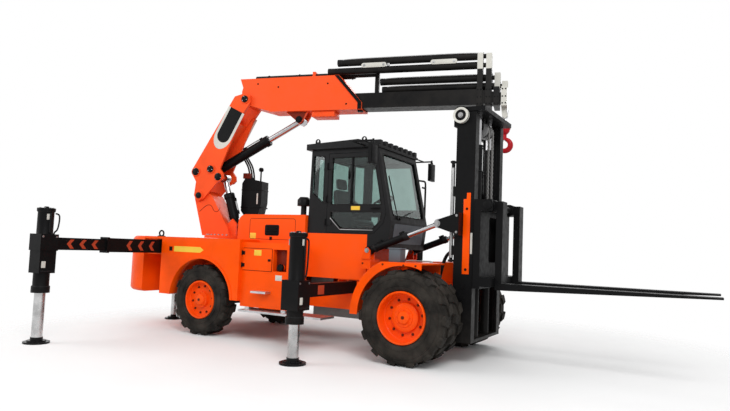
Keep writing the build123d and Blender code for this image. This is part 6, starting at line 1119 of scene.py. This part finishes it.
def stages():
    """Pipes, clips, bolts and plates of the extensions."""
    for number, ((front, floor), barrels) in enumerate(zip(STAGES, BARRELS), 1):
        body = f"stage_{number}"
        bolt = Piece(f"head_bolts_{number}", body, "black")
        for side in FACES:
            bolt.bolts([boom_point(front + r, side * 0.185, z) for r in (0.02, 0.07) for z in (3.87, 3.98, 4.10)],
                       side * BOOM_FAR, 0.009, 0.009)
        for lateral, z, start in barrels:
            bolt.bolts(round_places(boom_point(front + 0.09, lateral, z), BOOM_DIR, 0.055, 6), BOOM_DIR, 0.007, 0.007)
        bolt.done()
        if not barrels:
            continue
        clip = Piece(f"barrel_clips_{number}", body, "charcoal")
        for lateral, z, start in barrels:
            for share in (0.02, 0.35, 0.68):
                clip.ring(boom_point(start + share * (front - start), lateral, z), BOOM_DIR, 0.056, 0.006, 32)
            clip.lathe([(0.058, 0), (0.0615, 0.004), (0.0615, 0.05), (0.030, 0.056), (0, 0.056)],
                       boom_point(start + 0.02, lateral, z), -BOOM_DIR, 32)
        clip.done()
        lateral, z, start = barrels[-1]
        route = ((start + 0.06, 0.042, 0.040), (start + 0.12, 0.050, 0.050), ((start + front) / 2, 0.050, 0.050),
                 (front - 0.06, 0.050, 0.050), (front + 0.01, 0.042, 0.040))
        pipes(f"barrel_pipes_{number}", body, "steel", 0.008,
              [[boom_point(r, lateral - inset, z + rise) for r, inset, rise in route]])
    link = Piece("stage_links", "stage_1", "pale")
    pins = Piece("stage_link_pins", "stage_1", "steel")
    for r in LINKS_R:
        link.boom_prism(rounded(r - 0.22, r + 0.22, 4.565, 4.645, 0.035), -0.128, 0.010, 0.002)
        pins.bolts([boom_point(r + s, -0.137, LINKS_Z) for s in (-0.17, 0.17)], -BOOM_FAR, 0.016, 0.012)
    for r in (3.0, 3.95):
        pins.boom_block(r, -0.10, LINKS_Z, (0.05, 0.05, 0.05))
    face = Piece("boom_tip_plate", "stage_4", "silver")
    face.boom_prism([(4.978, 4.150), (4.992, 4.130), (4.996, 3.900), (5.004, 3.800), (4.990, 3.720),
                     (4.978, 3.760)], 0.075, 0.15, 0.002)
    face.boom_block(4.935, 0, 4.12, (0.075, 0.20, 0.05))
    finish_all(link, pins, face)


HOOK_R, HOOK_Z = 4.950, 3.690
HOOK_STEPS, HOOK_SIDES = 44, 14


def hook():
    """Shackle and swivel hook at the boom's tip."""
    pin = boom_point(HOOK_R, 0, HOOK_Z)
    shackle = Piece("hook_shackle", "load_hook", "silver")
    shackle.lathe([(0.019, -0.027), (0.043, -0.027), (0.043, 0.027), (0.019, 0.027)], pin, BOOM_FAR, 36, closed=True)
    shackle.block(pin - 0.075 * UP, (0.044, 0.052, 0.080), BOOM_DIR, BOOM_FAR, 0.008)
    shackle.rod(pin - 0.105 * UP, pin - 0.140 * UP, 0.030, 0.040, sides=28).done()
    ball = Piece("hook_swivel", "load_hook", "crimson")
    ball.lathe([(0, -0.140), (0.044, -0.142), (0.072, -0.165), (0.084, -0.205), (0.076, -0.250), (0.054, -0.280),
                (0.034, -0.296), (0.030, -0.320), (0, -0.320)], pin, UP, 40)
    ball.ring(pin - 0.205 * UP, UP, 0.084, 0.008, 40)
    rings = []
    for i in range(HOOK_STEPS + 1):
        share = i / HOOK_STEPS
        turn = radians(82 - 285 * share)
        radial = Vector((cos(turn), sin(turn)))
        spot = Vector((0.0, -0.470)) + (0.098 - 0.012 * share) * radial
        thick = 0.030 + 0.014 * sin(pi * min(1.0, share * 1.25)) - 0.024 * max(0.0, share - 0.75) / 0.25
        loop = []
        for k in range(HOOK_SIDES):
            a = 2 * pi * k / HOOK_SIDES
            off = thick * cos(a) * radial
            place_on_hook = boom_point(HOOK_R + spot.x + off.x, thick * 0.8 * sin(a), HOOK_Z + spot.y + off.y)
            loop.append(ball.bm.verts.new(place_on_hook))
        rings.append(loop)
    for low, high in zip(rings, rings[1:]):
        for k in range(HOOK_SIDES):
            j = (k + 1) % HOOK_SIDES
            ball.bm.faces.new((low[k], low[j], high[j], high[k]))
    ball.bm.faces.new(rings[0])
    ball.bm.faces.new(list(reversed(rings[-1])))
    ball.rod(pin - 0.300 * UP, pin - 0.385 * UP, 0.032, 0.036, sides=24)
    made = ball.done()
    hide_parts("hook")
    latch = Piece("hook_latch", "load_hook", "steel")
    latch.block(boom_point(HOOK_R - 0.050, 0, HOOK_Z - 0.425), (0.016, 0.026, 0.105),
                BOOM_DIR * 0.92 - UP * 0.39, BOOM_FAR, 0.004)
    ends = [boom_point(HOOK_R - 0.020, lateral, HOOK_Z - 0.392) for lateral in (-0.030, 0.030)]
    latch.rod(*ends, 0.010, sides=16).done()


dress()
for build in (wheels, mast, tilt_cylinders, cab, seat, body, outriggers, column, booms, cylinders, stages, hook):
    build()
studio()
camera()
bpy.context.scene.view_settings.view_transform = "Standard"
